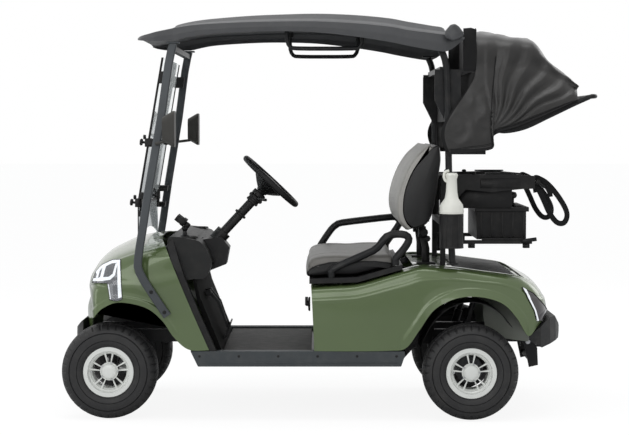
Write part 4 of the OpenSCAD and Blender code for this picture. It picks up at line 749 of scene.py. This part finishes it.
lamp_line = pf([(76, 645), (61, 693), (31, 726), (-18, 749), (-60, 754), (-72, 573), (-45, 564), (-14, 571), (-2, 647)])
bars = [pf([(-46, 752), (-60, 754), (-71, 583), (-53, 579), (-50, 640)]),
        pf([(-46, 751), (-18, 748), (31, 725), (61, 692), (54, 684), (27, 714), (-18, 736), (-46, 739)]),
        pf([(74, 652), (69, 664), (30, 672), (-8, 676), (-26, 690), (-38, 735), (-48, 738), (-36, 682), (-14, 662),
            (28, 656)]),
        pf([(24, 716), (8, 724), (20, 674), (34, 672)]),
        pf([(46, 699), (37, 707), (45, 670), (56, 668)])]
for side, tag in TAGGED:
    patch("headlamp_housing_" + tag, cowl_tree, lamp_line, side, 0.0006, lamp_dark, 0.005)
    for k, bar in enumerate(bars):
        patch(f"headlamp_bar_{tag}_{k}", cowl_tree, bar, side, 0.0030, lamp_white, 0.0028, 0.005)
    patch("headlamp_reflector_" + tag, cowl_tree, pf([(-8, 640), (-26, 648), (-30, 580), (-20, 576)]), side, 0.0022,
          steel_raw, 0.002, 0.005)
    patch("headlamp_slot_" + tag, cowl_tree, pf([(-3, 642), (-9, 642), (-19, 576), (-14, 574)]), side, 0.0026,
          lamp_white, 0.002, 0.004)
    cover = patch("headlamp_lens_" + tag, cowl_tree, lamp_line, side, 0.0052, lens_clear, 0.0012)
    h = Heap()
    h.tube([laid(cowl_tree, p[0], p[1], side, 0.0032) for p in dense(lamp_line, 0.006)], 0.0017, 8, closed=True)
    h.make("headlamp_frame_" + tag, black_plastic, angle=60)
    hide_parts("headlamps")

tail_line = pr([(-236, 626), (-290, 596), (-338, 545), (-392, 474), (-306, 470), (-292, 520)])
for side, tag in TAGGED:
    patch("tail_lens_" + tag, rear_tree, tail_line, side, 0.0034, lens_tail, 0.0014)
    patch("tail_bar_" + tag, rear_tree, pr([(-238, 625), (-254, 616), (-300, 520), (-312, 472), (-304, 471),
                                            (-292, 521)]), side, 0.0058, lamp_white)
    h = Heap()
    h.tube([laid(rear_tree, p[0], p[1], side, 0.0036) for p in dense(tail_line, 0.008)], 0.0024, 8, closed=True)
    h.make("tail_frame_" + tag, black_plastic, angle=60)

# SEAT

seat_w, back_w = 0.984, 0.950


def pad(name, outline, w, rnd, draw, mats, body, swell, seams, pick, node, rows=56, puff=0.006):
    """A cushion: a side outline carried across, rounded into its ends, crowned, with sewn channels."""
    o = np.array(outline)
    m = len(o)
    t = np.roll(o, -1, 0) - np.roll(o, 1, 0)
    t /= np.linalg.norm(t, axis=1, keepdims=True)
    out = np.stack([t[:, 1], -t[:, 0]], 1)
    area = np.sum(o[:, 0] * np.roll(o[:, 1], -1) - np.roll(o[:, 0], -1) * o[:, 1])
    if area < 0:
        out = -out
    ends = [(w / 2 - rnd * (1 - math.cos(a)), draw * (1 - math.sin(a))) for a in np.linspace(0, math.pi / 2, 9)]
    across = ([(-y, d) for y, d in ends] + [((-1 + 2 * k / rows) * (w / 2 - rnd), 0.0) for k in range(1, rows)]
              + ends[::-1])
    n = len(across)
    pos = np.zeros((n, m, 3))
    for i, (y, d) in enumerate(across):
        s = swell(y, o, out)
        for ym, depth, width in seams:
            s = s - depth * bell(abs(y) - ym, width) * np.clip(swell(0, o, out) / 0.004, 0, 1)
        q = o + out * (s - d)[:, None]
        pos[i, :, 0], pos[i, :, 1], pos[i, :, 2] = q[:, 0], y, q[:, 1]
    faces = [(i * m + j, i * m + (j + 1) % m, (i + 1) * m + (j + 1) % m, (i + 1) * m + j)
             for i in range(n - 1) for j in range(m)]
    verts = pos.reshape(-1, 3).tolist()
    for i, out_y in ((0, -1), (n - 1, 1)):
        mid = pos[i].mean(axis=0)
        ring = [i * m + j for j in range(m)]
        if not puff:
            faces.append(tuple(ring if out_y < 0 else ring[::-1]))
            continue
        rings = [ring]
        for k in range(1, 6):
            f = 1 - k / 6
            rise = np.array([0, out_y * puff * (1 - f * f), 0])
            rings.append([len(verts) + j for j in range(m)])
            verts += [(mid + (pos[i, j] - mid) * f + rise).tolist() for j in range(m)]
        tip = len(verts)
        verts.append((mid + np.array([0, out_y * puff, 0])).tolist())
        for a, b in zip(rings[:-1], rings[1:]):
            for j in range(m):
                faces.append((a[j], a[(j + 1) % m], b[(j + 1) % m], b[j])[::out_y])
        faces += [(rings[-1][j], rings[-1][(j + 1) % m], tip)[::out_y] for j in range(m)]
    ob = add(name, verts, faces, mats, body, 70)
    fix_normals(ob)
    if pick:
        for f in ob.data.polygons:
            f.material_index = pick(f.center, f.normal)
    shade(ob, 70)
    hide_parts(node)
    return ob


seat_line = spline(pr([(760, 672), (762, 715), (745, 748), (690, 764), (560, 769), (430, 771), (376, 766), (358, 742),
                       (366, 726), (384, 719), (531, 678), (640, 674)]), 10, True)
seat_edge = np.array(pr([(350, 730), (390, 738), (450, 744), (660, 739), (722, 724), (752, 708), (762, 700),
                         (770, 690)]))


def seam_z(x):
    """Height of the seam between the seat's grey top and its black side."""
    return float(np.interp(x, seat_edge[:, 0], seat_edge[:, 1]))


def seat_swell(y, o, out):
    up = np.clip(out[:, 1] * 1.2, 0, 1)
    front = np.clip(out[:, 0], 0, 1)
    across = 0.009 * (1 - (2 * y / seat_w) ** 2) + 0.004 * bell(abs(y) - 0.42, 0.07)
    return up * (across - 0.004 * bell(o[:, 0] - R(560), 0.05)) + 0.003 * front * (1 - (2 * y / seat_w) ** 2)


def seat_pick(c, n):
    return 1 if c.z < seam_z(c.x) else 0


# The seat's grey top takes the darker copy of the grey vinyl: painted shade.
seat = pad("seat_pad", seat_line, seat_w, 0.034, 0.016, [seat_grey_painted_shade, seat_black], body_of("seat_cushion"),
           seat_swell, [(0.33, 0.005, 0.005)], seat_pick, "seat_cushion")
seat_tree = tree_of(seat)
h = Heap()
for side in SIDES:
    h.tube([laid(seat_tree, x, seam_z(x), side, 0.0008) for x in np.linspace(R(757), R(366), 60)], 0.0030, 10)
h.make("seat_piping", seat_black, body=body_of("seat_cushion"), angle=60)

back_seam = [(266, 898), (294, 926), (309, 968), (310, 1010), (307, 1045), (297, 1090), (277, 1142), (250, 1191),
             (208, 1240), (172, 1277)]
back_line = np.concatenate([spline(pr([(292, 890), (326, 925), (341, 970), (342, 1022), (331, 1078), (315, 1127),
                                       (292, 1179), (258, 1231), (222, 1266), (192, 1291)]), 6),
                            spline(pr(back_seam[::-1]), 6)])


def back_swell(y, o, out):
    front = np.clip(out[:, 0] * 1.3 + 0.2, 0, 1)
    inner = bell(o[:, 1] - 1.09, 0.2)
    return front * (0.010 * (1 - (2 * y / back_w) ** 2) * inner + 0.005 * bell(abs(y) - 0.40, 0.06))


pad("backrest_pad", back_line, back_w, 0.032, 0.007, [seat_grey, seat_black], "chassis", back_swell,
    [(0.315, 0.005, 0.005)], None, "backrest_cushion", puff=0)
shell_line = np.concatenate([spline(pr([(x + 13, z) for x, z in back_seam]), 6),
                             spline(pr([(158, 1290), (145, 1280), (140, 1250), (139, 1214), (146, 1160), (152, 1100),
                                        (160, 1050), (170, 1000), (184, 950), (206, 918), (236, 904), (256, 898)]), 5)])


def no_swell(y, o, out):
    return 0 * o[:, 0]


pad("backrest_back", shell_line, back_w, 0.030, 0.010, [seat_black], "chassis", no_swell, [], None,
    "backrest_shell", rows=20, puff=0.012)
h = Heap()
for y in (-0.260, 0.230):
    h.slab(pr([(234, 940), (226, 880), (214, 790), (214, 716.2), (178, 716.2), (178, 790), (200, 880), (206, 940)]),
           y, y + 0.030)
    h.slab(pr([(150, 714), (170, 715.3), (240, 716), (240, 724), (150, 724)]), y - 0.020, y + 0.050)
h.make("backrest_stands", black_plastic, 0.002)
h = Heap()
for side in SIDES:
    h.tube([(x, side * (back_w / 2 - 0.004), z) for x, z in spline(pr(back_seam), 6)], 0.0032, 10)
    h.tube([(x, side * (back_w / 2 - 0.003), z) for x, z in
            spline(pr([(196, 930), (190, 990), (182, 1050), (172, 1120), (163, 1190), (160, 1262)]), 6)], 0.0028, 10)
h.make("backrest_piping", seat_black, angle=60)
h = Heap()
for y in (-0.245, 0.245):
    h.box(R(232), R(196), y - 0.022, y + 0.022, 0.842, 0.896)
    for side in SIDES:
        h.lathe((R(208), y + side * 0.022, 0.868), (0, side, 0),
                [(0.020, 0), (0.022, 0.004), (0.022, 0.014), (0.017, 0.018)], 10)
    h.lathe((R(190), y + 0.02, 0.838), (0, 1, 0), [(0.015, 0), (0.016, 0.012), (0.010, 0.016)], 8)
h.make("backrest_brackets", black_plastic, 0.002)

# BAG COVER

cover_rows = [
    [[114, 528, 1244], [137, 526, 1376], [-10, 500, 1607], [-20, 440, 1800], [-24, 0, 1842]],
    [[10, 530, 1258], [10, 528, 1400], [-40, 500, 1630], [-60, 436, 1806], [-60, 0, 1846]],
    [[-97, 530, 1274], [-90, 528, 1430], [-110, 498, 1640], [-130, 430, 1800], [-130, 0, 1838]],
    [[-104, 530, 1340], [-110, 526, 1450], [-150, 494, 1645], [-170, 428, 1796], [-170, 0, 1832]],
    [[-200, 526, 1372], [-205, 520, 1480], [-230, 486, 1650], [-250, 420, 1786], [-250, 0, 1820]],
    [[-290, 522, 1408], [-290, 514, 1510], [-300, 474, 1645], [-311, 410, 1770], [-311, 0, 1802]],
    [[-390, 518, 1452], [-390, 506, 1530], [-388, 462, 1612], [-386, 405, 1682], [-387, 0, 1706]],
    [[-466, 516, 1488], [-470, 500, 1532], [-476, 454, 1574], [-482, 400, 1608], [-488, 0, 1624]],
    [[-496, 514, 1503], [-500, 494, 1526], [-506, 448, 1553], [-510, 405, 1573], [-514, 0, 1584]]]
nr, nc = 16, 20
g = smooth_grid(mirrored(list(reversed(cover_rows)), RX), nr, nc)
nrm = normals_of(g)
if nrm[60, 10, 1] > 0:
    nrm = -nrm
X, Y, Z = g[..., 0], g[..., 1], g[..., 2]
c = 4 - np.abs(4 - np.arange(g.shape[1]) / nc)[None, :] + 0 * X
# Folds fan out from a point on the bow: bearing in degrees, width, and depth in mm
fan_x, fan_z = R(-92), 1.352
reach = np.hypot(X - fan_x, Z - fan_z)
bearing = np.degrees(np.arctan2(Z - fan_z, fan_x - X)) + 5 * np.sin(reach * 8 + Y * 3) + 2.5 * np.sin(reach * 21)
fan = 0 * X
for deg, width, depth in ((100, 4, -5), (92, 3.2, 6), (83, 4, -9), (74, 3.6, 9), (66, 3, -8), (58, 3.5, 9),
                          (50, 3, -7), (43, 3.2, 8), (36, 3, -6), (30, 2.6, 7), (25, 2.2, -7)):
    fan = fan + depth * np.clip(1 - np.abs(bearing - deg) / (width * 1.25), 0, 1) ** 0.85
sides = step((3.0 - c) / 0.8 + 0.3)
grow = step((reach - 0.02) / 0.16) * (1 - 0.55 * step((reach - 0.30) / 0.22))
lift = 0.001 * fan * sides * grow * step((fan_x + 0.02 - X) / 0.03 + 0.5)
creases = np.zeros_like(X)
for i in range(X.shape[0]):
    for j in range(X.shape[1]):
        p = Vector((X[i, j], Y[i, j] * 0.6, Z[i, j]))
        a = noise.noise(p * 9.0)
        b = noise.noise(Vector((p.x + 0.4 * p.z, p.y, p.z - 0.5 * p.x)) * 17.0)
        creases[i, j] = (1 - abs(a) * 2) * 0.6 + (1 - abs(b) * 2) * 0.4
flap = step((X - R(-100)) / 0.04) * step((1.62 - Z) / 0.12)
lift = lift + creases * (0.0022 + 0.0048 * flap) * step(c / 0.5)
top = step((c - 2.6) / 0.5)
lift = lift + top * 0.0018 * np.sin((X - R(0)) * 62 + 5 * np.cos(Y * 6)) * step((np.abs(X - R(-311)) + 0.02) / 0.06)
lift = lift - top * 0.012 * step((0.40 - np.abs(Y)) / 0.25) * bell(X - R(-220), 0.06)
g = g + nrm * ((lift - 0.008) * step(np.minimum(c, 1.0) / 0.25))[..., None]
rows_n = g.shape[0]
flap_row = (rows_n - 1) * 6 // 8


def cover_pick(i, j):
    hem = 0.16 if i > flap_row else 0.20
    return 1 if 4 - abs(4 - (j + 0.5) / nc) < hem or i > rows_n - 5 else 0


cloth = panel("cover_cloth", g, [cover_cloth, cover_hem], None, 0.0022, 80, cover_pick, ("cover_fabric",))
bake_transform(cloth)
h = Heap()
for side in SIDES:
    near = g if side < 0 else g[:, ::-1]
    for k, off in ((int(nc * 0.20), 0.0012), (int(nc * 0.28), 0.001)):
        h.tube(near[::2, k] + np.array([0, side * off, 0]), 0.0014, 6)
    h.tube(near[flap_row, :int(nc * 2.4)] + np.array([0, side * 0.0015, 0]), 0.0022, 8)
seams = h.make("cover_seams", cover_hem, body=None, angle=60)
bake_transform(seams)
bow_line = spline(pr([(-100, 1368), (-156, 1356), (-250, 1374), (-360, 1425), (-470, 1478), (-536, 1508),
                      (-560, 1518)]), 8)
bow_mid = 0.5 * (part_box("cover_bow")[0][1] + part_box("cover_bow")[1][1])
bow_y = 0.5 * (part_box("cover_bow")[1][1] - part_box("cover_bow")[0][1]) - 0.008
h = Heap()
for side in SIDES:
    line = [(x, bow_mid + side * bow_y, z) for x, z in bow_line[4:-4]]
    h.sweep(line, [(-0.0115, -0.0072), (0.0115, -0.0072), (0.0115, 0.0072), (-0.0115, 0.0072)],
            side=[Vector((-(b[2] - a[2]), 0, b[0] - a[0])) for a, b in zip(line[:1] + line, line[1:] + line[-1:])])
h.make("bow_sleeves", steel_black, 0.0025, "cover_bow")
# The hem that hangs from the cover's lower rear edge down to the bow
hem_rows = int((rows_n - 1) * 5.3 / 8) + 1
for side, tag in TAGGED:
    strip = []
    for p in g[:hem_rows, -1 if side > 0 else 0]:
        foot = min(float(np.interp(p[0], bow_line[::-1, 0], bow_line[::-1, 1])) + 0.004, p[2] - 0.004)
        strip.append([p + np.array([0, -side * 0.004 * math.sin(math.pi * t), (foot - p[2]) * t])
                      for t in (0, 0.25, 0.5, 0.75, 1)])
    hem = panel("cover_rear_hem_" + tag, np.array(strip), cover_hem, None, 0.0018, 80)
    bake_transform(hem)
# Stiff panels across the front of the cover and beside it
h = Heap()
for side in SIDES:
    h.side_slab(side, pr([(-20, 1640), (38, 1640), (38, 1835), (2, 1838), (-24, 1830)]), 0.488, 0.492)
    h.side_box(side, R(-66), R(96), 0.522, 0.5275, 1.247, 1.272)
h.box(-0.684, -0.681, -0.486, 0.486, 1.640, 1.836)
h.box(-0.684, -0.566, -0.476, 0.476, 1.638, 1.641)
h.box(-0.569, -0.566, -0.476, 0.476, 1.400, 1.641)
h.make("cover_front_strips", cover_hem, 0.001)

# FIXED FITTINGS

# Deck, front wall and seat lugs inside the rear body
deck_line = pr([(262, 716), (170, 715), (70, 708), (-39, 693), (-147, 679), (-219, 668), (-262, 652)])
h = Heap()
h.slab(deck_line + [(x, z - 0.004) for x, z in reversed(deck_line)], -0.452, 0.452)
h.slab(pr([(733, 329.4), (747, 612), (741, 612), (727, 329.4)]), -0.560, 0.560)
h.slab(pr([(741, 600), (747, 600), (749, 629), (720, 631), (720, 625), (741, 623)]), -0.500, 0.500)
h.make("rear_inner_panels", paint, 0.001)
h = Heap()
for side in SIDES:
    for y in (0.284, 0.310):
        h.slab([(R(262), 0.711), (R(240), 0.711), (R(262), 0.680), (R(310), 0.680), (R(312), 0.690), (R(306), 0.699),
                (R(294), 0.699)], side * y, side * (y + 0.006))
    h.lathe((R(302), side * 0.284, 0.690), (0, side, 0), [(0.005, 0), (0.005, 0.032)], 16)
    h.screw((R(302), side * 0.316, 0.690), (0, side, 0), 0.009, 0.004)
h.make("seat_hinges", steel_black, 0.0008)
h = Heap()
for side in SIDES:
    for x, top in ((R(861), 1.866), (R(508), 1.862)):
        h.lathe((x, side * 0.5, 1.8383), (0, 0, 1), [(0.018, 0), (0.018, top - 1.8383)], 20)
h.make("roof_posts", black_plastic)
h = Heap()
for side in SIDES:
    h.side_slab(side, pr([(132, 1788), (124, 1822), (104, 1846), (84, 1852), (64, 1838), (40, 1806), (46, 1790),
                          (92, 1772)]), 0.505, 0.590)
h.make("roof_spouts", roof_plastic, 0.010)

# Wheel-house walls, inner skirts and dampers
h = Heap()
for side in SIDES:
    h.side_slab(side, pr([(330, 334), (330, 640), (62, 640), (62, 560), (118, 520), (150, 440), (176, 334)]),
                0.296, 0.302)
    arch = [(R(250 * math.cos(t)), 0.226 + 0.330 * math.sin(t)) for t in np.linspace(0.35, 2.45, 22)]
    h.side_slab(side, arch + [(x, z + 0.003) for x, z in reversed(arch)], 0.30, 0.552)
h.make("wheel_house", black_plastic, 0.001)
h = Heap()
for side in SIDES:
    h.side_slab(side, pr([(-86, 640), (-78, 560), (-78, 470), (-96, 372), (-230, 352), (-296, 344), (-306, 430),
                          (-296, 600), (-250, 650)]), 0.300, 0.304)
# The skirts' grey is lightened against the shade under the body: painted light.
h.make("rear_inner_skirt", skirt_grey_painted_light, 0.001)
h = Heap()
for side in SIDES:
    h.lathe((R(40), side * 0.262, 0.300), (-0.10, 0, 0.32),
            [(0, 0), (0.020, 0.002), (0.020, 0.15), (0.014, 0.152), (0.014, 0.28), (0.019, 0.282), (0.019, 0.312),
             (0, 0.314)], 18)
h.make("dampers", steel_black)

# Bolts: strut feet, frame brackets, tow plates, hinges
h = Heap()
strut_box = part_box("front_struts")
for side in SIDES:
    y_out = strut_box[1 if side > 0 else 0][1]
    for x, z in ((0.829, 0.609), (0.768, 0.515)):
        h.bolt((x, y_out - side * 0.0008, z), (0, side, 0), 0.0062, 0.006)
h.make("strut_bolts", steel_black)
h = Heap()
for side in SIDES:
    for x, z in ((R(-306), 0.356), (R(-306), 0.330)):
        h.bolt((x, side * 0.1925, z), (0, side, 0), 0.008, 0.007)
    for x in (R(260), R(-196), R(196)):
        h.bolt((x, side * 0.186, 0.345), (0, side, 0), 0.007, 0.006)
    for x, z in ((F(60), 0.352), (F(-380), 0.352)):
        h.bolt((x, side * 0.186, z), (0, side, 0), 0.007, 0.006)
h.bolt((R(-380), 0, 0.3222), (0, 0, 1), 0.013, 0.012)
h.make("frame_bolts", bolt_zinc)
sill_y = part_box("sills")[1][1]
h = Heap()
for side in SIDES:
    for x in np.linspace(F(-430), R(350), 6):
        h.screw((x, side * (sill_y - 0.0006), 0.306), (0, side, 0), 0.006, 0.0025)
h.make("sill_screws", black_plastic)
# Raised rib along the sills, seen as two lines
h = Heap()
for side in SIDES:
    h.side_box(side, F(-440), R(345), sill_y - 0.004, sill_y + 0.0016, 0.2725, 0.2765)
h.make("sill_ribs", slate, 0.0006)

# Windshield latches and knobs
h = Heap()
knobs = Heap()
for side in SIDES:
    for z, x in ((1.020, F(-147)), (1.302, F(-194))):
        h.side_box(side, x - 0.012, x + 0.020, 0.468, 0.514, z - 0.020, z + 0.020)
        knobs.lathe((x + 0.018, side * 0.490, z), (1, 0, 0.12),
                    [(0.006, 0), (0.006, 0.012), (0.015, 0.014), (0.017, 0.022), (0.012, 0.027), (0, 0.028)], 12)
        knobs.lathe((x + 0.016, side * 0.490, z + 0.026), (1, 0, 0), [(0.010, 0), (0.011, 0.012), (0, 0.014)], 10)
h.make("windshield_latches", black_plastic, 0.002)
knobs.make("windshield_knobs", black_plastic)
h = Heap()
edge_x = F(-142.5)
for side in SIDES:
    h.sweep([(edge_x, side * 0.519, 1.012), (F(-258.5), side * 0.5085, 1.698)], flat_section(0.010, 0.008), (1, 0, 0))
h.sweep([(edge_x, -0.50, 1.0045), (edge_x, 0.50, 1.0045)], flat_section(0.011, 0.011), (1, 0, 0))
h.make("windshield_edging", black_plastic, 0.001)

# Dash: cup rings, phone holder, switches and key, and the direction switch on the seat box
h = Heap()
for y in (0.42, -0.42):
    h.lathe((F(-370), y, 0.8515), (0, 0, 1),
            [(0.046, 0), (0.046, 0.004), (0.044, 0.007), (0.0385, 0.007), (0.0375, 0.004)], 40)
h.make("cup_rings", black_plastic)
h = Heap()
bx, by = 0.686, 0.40
h.lathe((bx, by, 0.853), (0, 0, 1), [(0.026, 0), (0.026, 0.006), (0.012, 0.012), (0.009, 0.030), (0.014, 0.036),
                                     (0.016, 0.044), (0.012, 0.052), (0, 0.054)], 24)
h.turned_box((bx + 0.004, by, 0.925), (0.018, 0.062, 0.040), -38)
for side in SIDES:
    h.turned_box((bx + 0.020, by + side * 0.034, 0.936), (0.046, 0.010, 0.032), -38)
    h.turned_box((bx + 0.030, by + side * 0.030, 0.945), (0.010, 0.018, 0.030), -38)
h.lathe((bx - 0.010, by, 0.912), (-0.6, 0, 0.8), [(0.014, -0.012), (0.016, -0.008), (0.016, 0.008), (0.012, 0.012)], 10)
h.make("phone_holder", black_plastic, 0.0015)
h = Heap()
for y in (0.10, 0.145, 0.19):
    h.turned_box((F(-481), y, 0.735), (0.008, 0.028, 0.020), 6)
h.lathe((F(-479), 0.355, 0.735), (-1, 0, 0.1), [(0.014, 0), (0.014, 0.006), (0.009, 0.008), (0.009, 0.012)], 20)
h.make("dash_switches", grip_rubber, 0.002)
h = Heap()
h.lathe((R(757), 0.36, 0.531), (1, 0, 0), [(0.034, -0.004), (0.034, 0.003), (0.028, 0.006), (0.010, 0.007),
                                           (0.010, 0.016), (0.006, 0.020), (0, 0.021)], 28)
h.turned_box((R(771), 0.36, 0.545), (0.014, 0.012, 0.040), 0)
h.make("direction_switch", black_plastic, 0.002)

# Rack: brackets, nubs, side plates, knob, clip feet, top strips and lever
h = Heap()
for side in SIDES:
    h.side_box(side, R(-250), R(-60), 0.305, 0.323, 1.082, 1.128)
    for x in (R(60), R(-30)):
        h.lathe((x, side * 0.29, 1.146), (0, 0, 1), [(0.010, 0), (0.012, 0.006), (0.009, 0.012), (0, 0.014)], 14)
    for x in (R(-282), R(-20)):
        h.side_box(side, x - 0.016, x + 0.016, 0.292, 0.318, 0.795, 0.818)
        h.lathe((x, side * 0.318, 0.806), (0, side, 0), [(0.009, 0), (0.009, 0.006), (0.005, 0.008)], 12)
    h.side_box(side, R(-216), R(30), 0.272, 0.284, 0.985, 1.090)
h.lathe((R(-222), 0.24, 1.000), (0, 0, 1), [(0.008, 0), (0.008, 0.030), (0.018, 0.034), (0.023, 0.046),
                                            (0.018, 0.060), (0, 0.064)], 20)
h.make("rack_fittings", black_plastic, 0.0025)
h = Heap()
for side in SIDES:
    h.side_box(side, R(-230), R(-85), 0.272, 0.316, 1.1505, 1.157)
    h.turned_box((R(-295), side * 0.326, 0.834), (0.070, 0.014, 0.018), 8)
h.make("rack_strips", steel_black, 0.002)
h = Heap()
lo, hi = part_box("storage_box")
for x in np.linspace(R(-270), R(-66), 5):
    for y in (lo[1] + 0.012, hi[1] - 0.012):
        h.box(x - 0.004, x + 0.004, y - 0.0012, y + 0.0012, 0.846, 0.966)
h.make("box_ribs", black_plastic, 0.001)

# Bag straps: webbing loops with a buckle
strap_line = pr([(-322, 1130), (-336, 1131), (-380, 1106), (-430, 1050), (-470, 985), (-478, 945), (-462, 915),
                 (-430, 918), (-396, 960), (-366, 1025), (-346, 1066), (-334, 1082), (-322, 1086)])
strap_tail = pr([(-340, 1122), (-372, 1096), (-392, 1068), (-398, 1040)])
webbing_section = [(-0.013, -0.0012), (-0.0115, -0.0017), (0.0115, -0.0017), (0.013, -0.0012), (0.013, 0.0012),
                   (0.0115, 0.0017), (-0.0115, 0.0017), (-0.013, 0.0012)]
h = Heap()
for side in SIDES:
    pts = spline([(x - 0.0003, side * 0.296, z) for x, z in strap_line])
    n = len(pts)
    twist = []
    for i in range(n):
        t = Vector(pts[min(i + 1, n - 1)]) - Vector(pts[max(i - 1, 0)])
        twist.append(t.cross(Vector((0.30 * math.sin(4 * math.pi * i / n), 1, 0))))
    h.sweep(pts, webbing_section, twist)
    h.sweep(spline([(x - 0.0003, side * 0.296, z) for x, z in strap_tail]), flat_section(0.024, 0.0024), (1, 0, 0.4))
straps = h.make("bag_strap_webbing", webbing, angle=50)
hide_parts("bag_straps")
h = Heap()
for side in SIDES:
    h.turned_box((R(-352), side * 0.296, 1.100), (0.046, 0.040, 0.012), -38)
    h.turned_box((R(-336), side * 0.296, 1.112), (0.020, 0.046, 0.020), -20)
h.make("strap_buckles", black_plastic, 0.002)

# Bottle: handle ear and holder ribs
lo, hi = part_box("sand_bottle")
bx, by = 0.5 * (lo[0] + hi[0]), 0.5 * (lo[1] + hi[1])
r = hi[0] - bx
h = Heap()
h.tube(spline([(bx + x, by, z) for x, z in ((0.016, 1.118), (0.030, 1.128), (0.036, 1.148), (0.030, 1.166),
                                            (0.012, 1.172))]), 0.0065, 12)
h.lathe((bx, by, 0.978), (0, 0, 1), [(r + 0.0005, 0), (r + 0.002, 0.004), (r + 0.0005, 0.010)], 40)
h.make("bottle_ear", bottle_white)
h = Heap()
lo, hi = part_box("bottle_holder")
r = (hi[0] - lo[0]) / 2
for a in range(0, 360, 30):
    t = math.radians(a)
    h.turned_box((bx + (r - 0.0006) * math.cos(t), by + (r - 0.0006) * math.sin(t), 0.892), (0.003, 0.006, 0.150),
                 a, "Z")
for z in (0.812, 0.962):
    h.lathe((bx, by, z), (0, 0, 1), [(r - 0.001, 0), (r + 0.0015, 0.001), (r + 0.0015, 0.007), (r - 0.001, 0.008)], 40)
h.make("holder_ribs", black_plastic, 0.0006)

# Wheels: nuts, cap ring, valve
for corner in CORNERS:
    cx, cy, cz = [(a + b) / 2 for a, b in zip(*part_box("rim_" + corner))]
    side = 1 if "left" in corner else -1
    body = body_of("rim_" + corner)
    h = Heap()
    h.lathe((cx, cy + side * 0.0718, cz), (0, side, 0),
            [(0.0290, 0), (0.0292, 0.0015), (0.026, 0.003), (0.012, 0.0042), (0, 0.0044)], 40)
    h.lathe((cx, cy + side * 0.0600, cz), (0, side, 0), [(0.0375, -0.004), (0.0375, -0.0005), (0.0355, 0.0008)], 40)
    h.make("cap_" + corner, rim_white, body=body)
    h = Heap()
    for k in range(5):
        a = 2 * math.pi * (k + 0.5) / 5
        p = Vector((cx + 0.0405 * math.cos(a), cy + side * 0.0578, cz + 0.0405 * math.sin(a)))
        h.lathe(p, (0, side, 0), [(0.0052, -0.002), (0.0052, 0.0035), (0.0042, 0.0046)], 6)
    h.lathe((cx + 0.078, cy + side * 0.060, cz), (0.25, side, 0),
            [(0.003, -0.006), (0.003, 0.010), (0.0042, 0.011), (0.0042, 0.019), (0.002, 0.021)], 12)
    h.make("nuts_" + corner, bolt_zinc, body=body)

# Steering: the wheel's hub cone and pad, and the clamps on the column
for j in frame["record"]["behaviour"]["joints"]:
    if j["name"] == "steering_wheel_turn":
        ax = Vector(j["axis"]).normalized()
wc = Vector((F(-757), 0.270, 1.114))
if ax.z < 0:
    ax = -ax
h = Heap()
h.lathe(wc, ax, [(0.026, -0.070), (0.029, -0.062), (0.052, -0.046), (0.078, -0.024), (0.092, -0.008), (0.088, 0.002),
                 (0.060, 0.009), (0.020, 0.0125), (0, 0.013)], 40)
h.make("wheel_hub", grip_rubber, body="steering_wheel")
h = Heap()
for d, r, w in ((-0.086, 0.034, 0.020), (-0.108, 0.036, 0.014), (-0.132, 0.032, 0.010), (-0.215, 0.031, 0.008)):
    h.lathe(wc + ax * d, ax, [(r - 0.004, -w / 2 - 0.002), (r, -w / 2), (r, w / 2), (r - 0.004, w / 2 + 0.002)], 28)
ahead = ax.cross(Vector((0, 1, 0))).normalized()
for off, r, half in ((0.030, 0.009, 0.022), (-0.030, 0.007, 0.018)):
    h.lathe(wc + ax * -0.108 + ahead * off, (0, 1, 0), [(r, -half), (r, half)], 12)
h.make("column_clamps", black_plastic, 0.001)

# TYRES


def tyre(corner):
    """Tread of five ribs with zigzag grooves, shoulder lugs, sidewall rings."""
    node = "tyre_" + corner
    cx, cy, cz = [(a + b) / 2 for a, b in zip(*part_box(node))]
    half = [(0.1055, 0.0865), (0.112, 0.0868), (0.1175, 0.0866), (0.119, 0.0905), (0.1215, 0.0935), (0.124, 0.0925),
            (0.130, 0.0975), (0.138, 0.1005), (0.147, 0.1020), (0.1485, 0.0990), (0.150, 0.1022), (0.160, 0.1024),
            (0.170, 0.1022), (0.180, 0.1010), (0.1835, 0.0972), (0.186, 0.1008), (0.191, 0.0998), (0.198, 0.0965),
            (0.2045, 0.0915), (0.210, 0.0862), (0.2145, 0.0805), (0.2180, 0.0745), (0.2208, 0.0690)]
    for y in (0.0640, 0.0585, 0.0565, 0.0510, 0.0480, 0.0465, 0.0430, 0.0380, 0.0320, 0.0270, 0.0238, 0.0222, 0.0188,
              0.0172, 0.0130, 0.0070, 0.0):
        in_groove = 0.0465 <= y <= 0.0510 or 0.0222 - 0.0034 <= y <= 0.0222
        half.append((0.226 - 0.0052 * (y / 0.069) ** 2.2 - (0.0062 if in_groove else 0), y))
    profile = half + [(r, -y) for r, y in reversed(half[:-1])]
    n, m = 216, len(profile)
    verts, faces = [], []
    for i in range(n):
        a = 2 * math.pi * i / n
        for k, (r, y) in enumerate(profile):
            ay = abs(y)
            rr, yy = r, y
            if r > 0.2135 and 0.015 < ay < 0.055:  # zigzag grooves
                yy = y + (0.0022 if (i // 3) % 2 else -0.0022) * (1 if y > 0 else -1)
            if ay > 0.0585 and r > 0.199 and i % 6 == 0:  # shoulder lugs
                rr = r - 0.0052
            if r > 0.21 and (0.028 < ay < 0.042 and i % 12 == 4 or ay < 0.012 and i % 12 == 10):  # slits
                rr = r - 0.0035
            verts.append((cx + rr * math.sin(a), cy + yy, cz + rr * math.cos(a)))
    for i in range(n):
        j = (i + 1) % n
        for k in range(m - 1):
            faces.append((i * m + k, i * m + k + 1, j * m + k + 1, j * m + k))
        faces.append((i * m + m - 1, i * m, j * m, j * m + m - 1))
    ob = add(node + "_tread", verts, faces, rubber, body_of(node), 28)
    fix_normals(ob)
    shade(ob, 28)
    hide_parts(node)


for corner in CORNERS:
    tyre(corner)
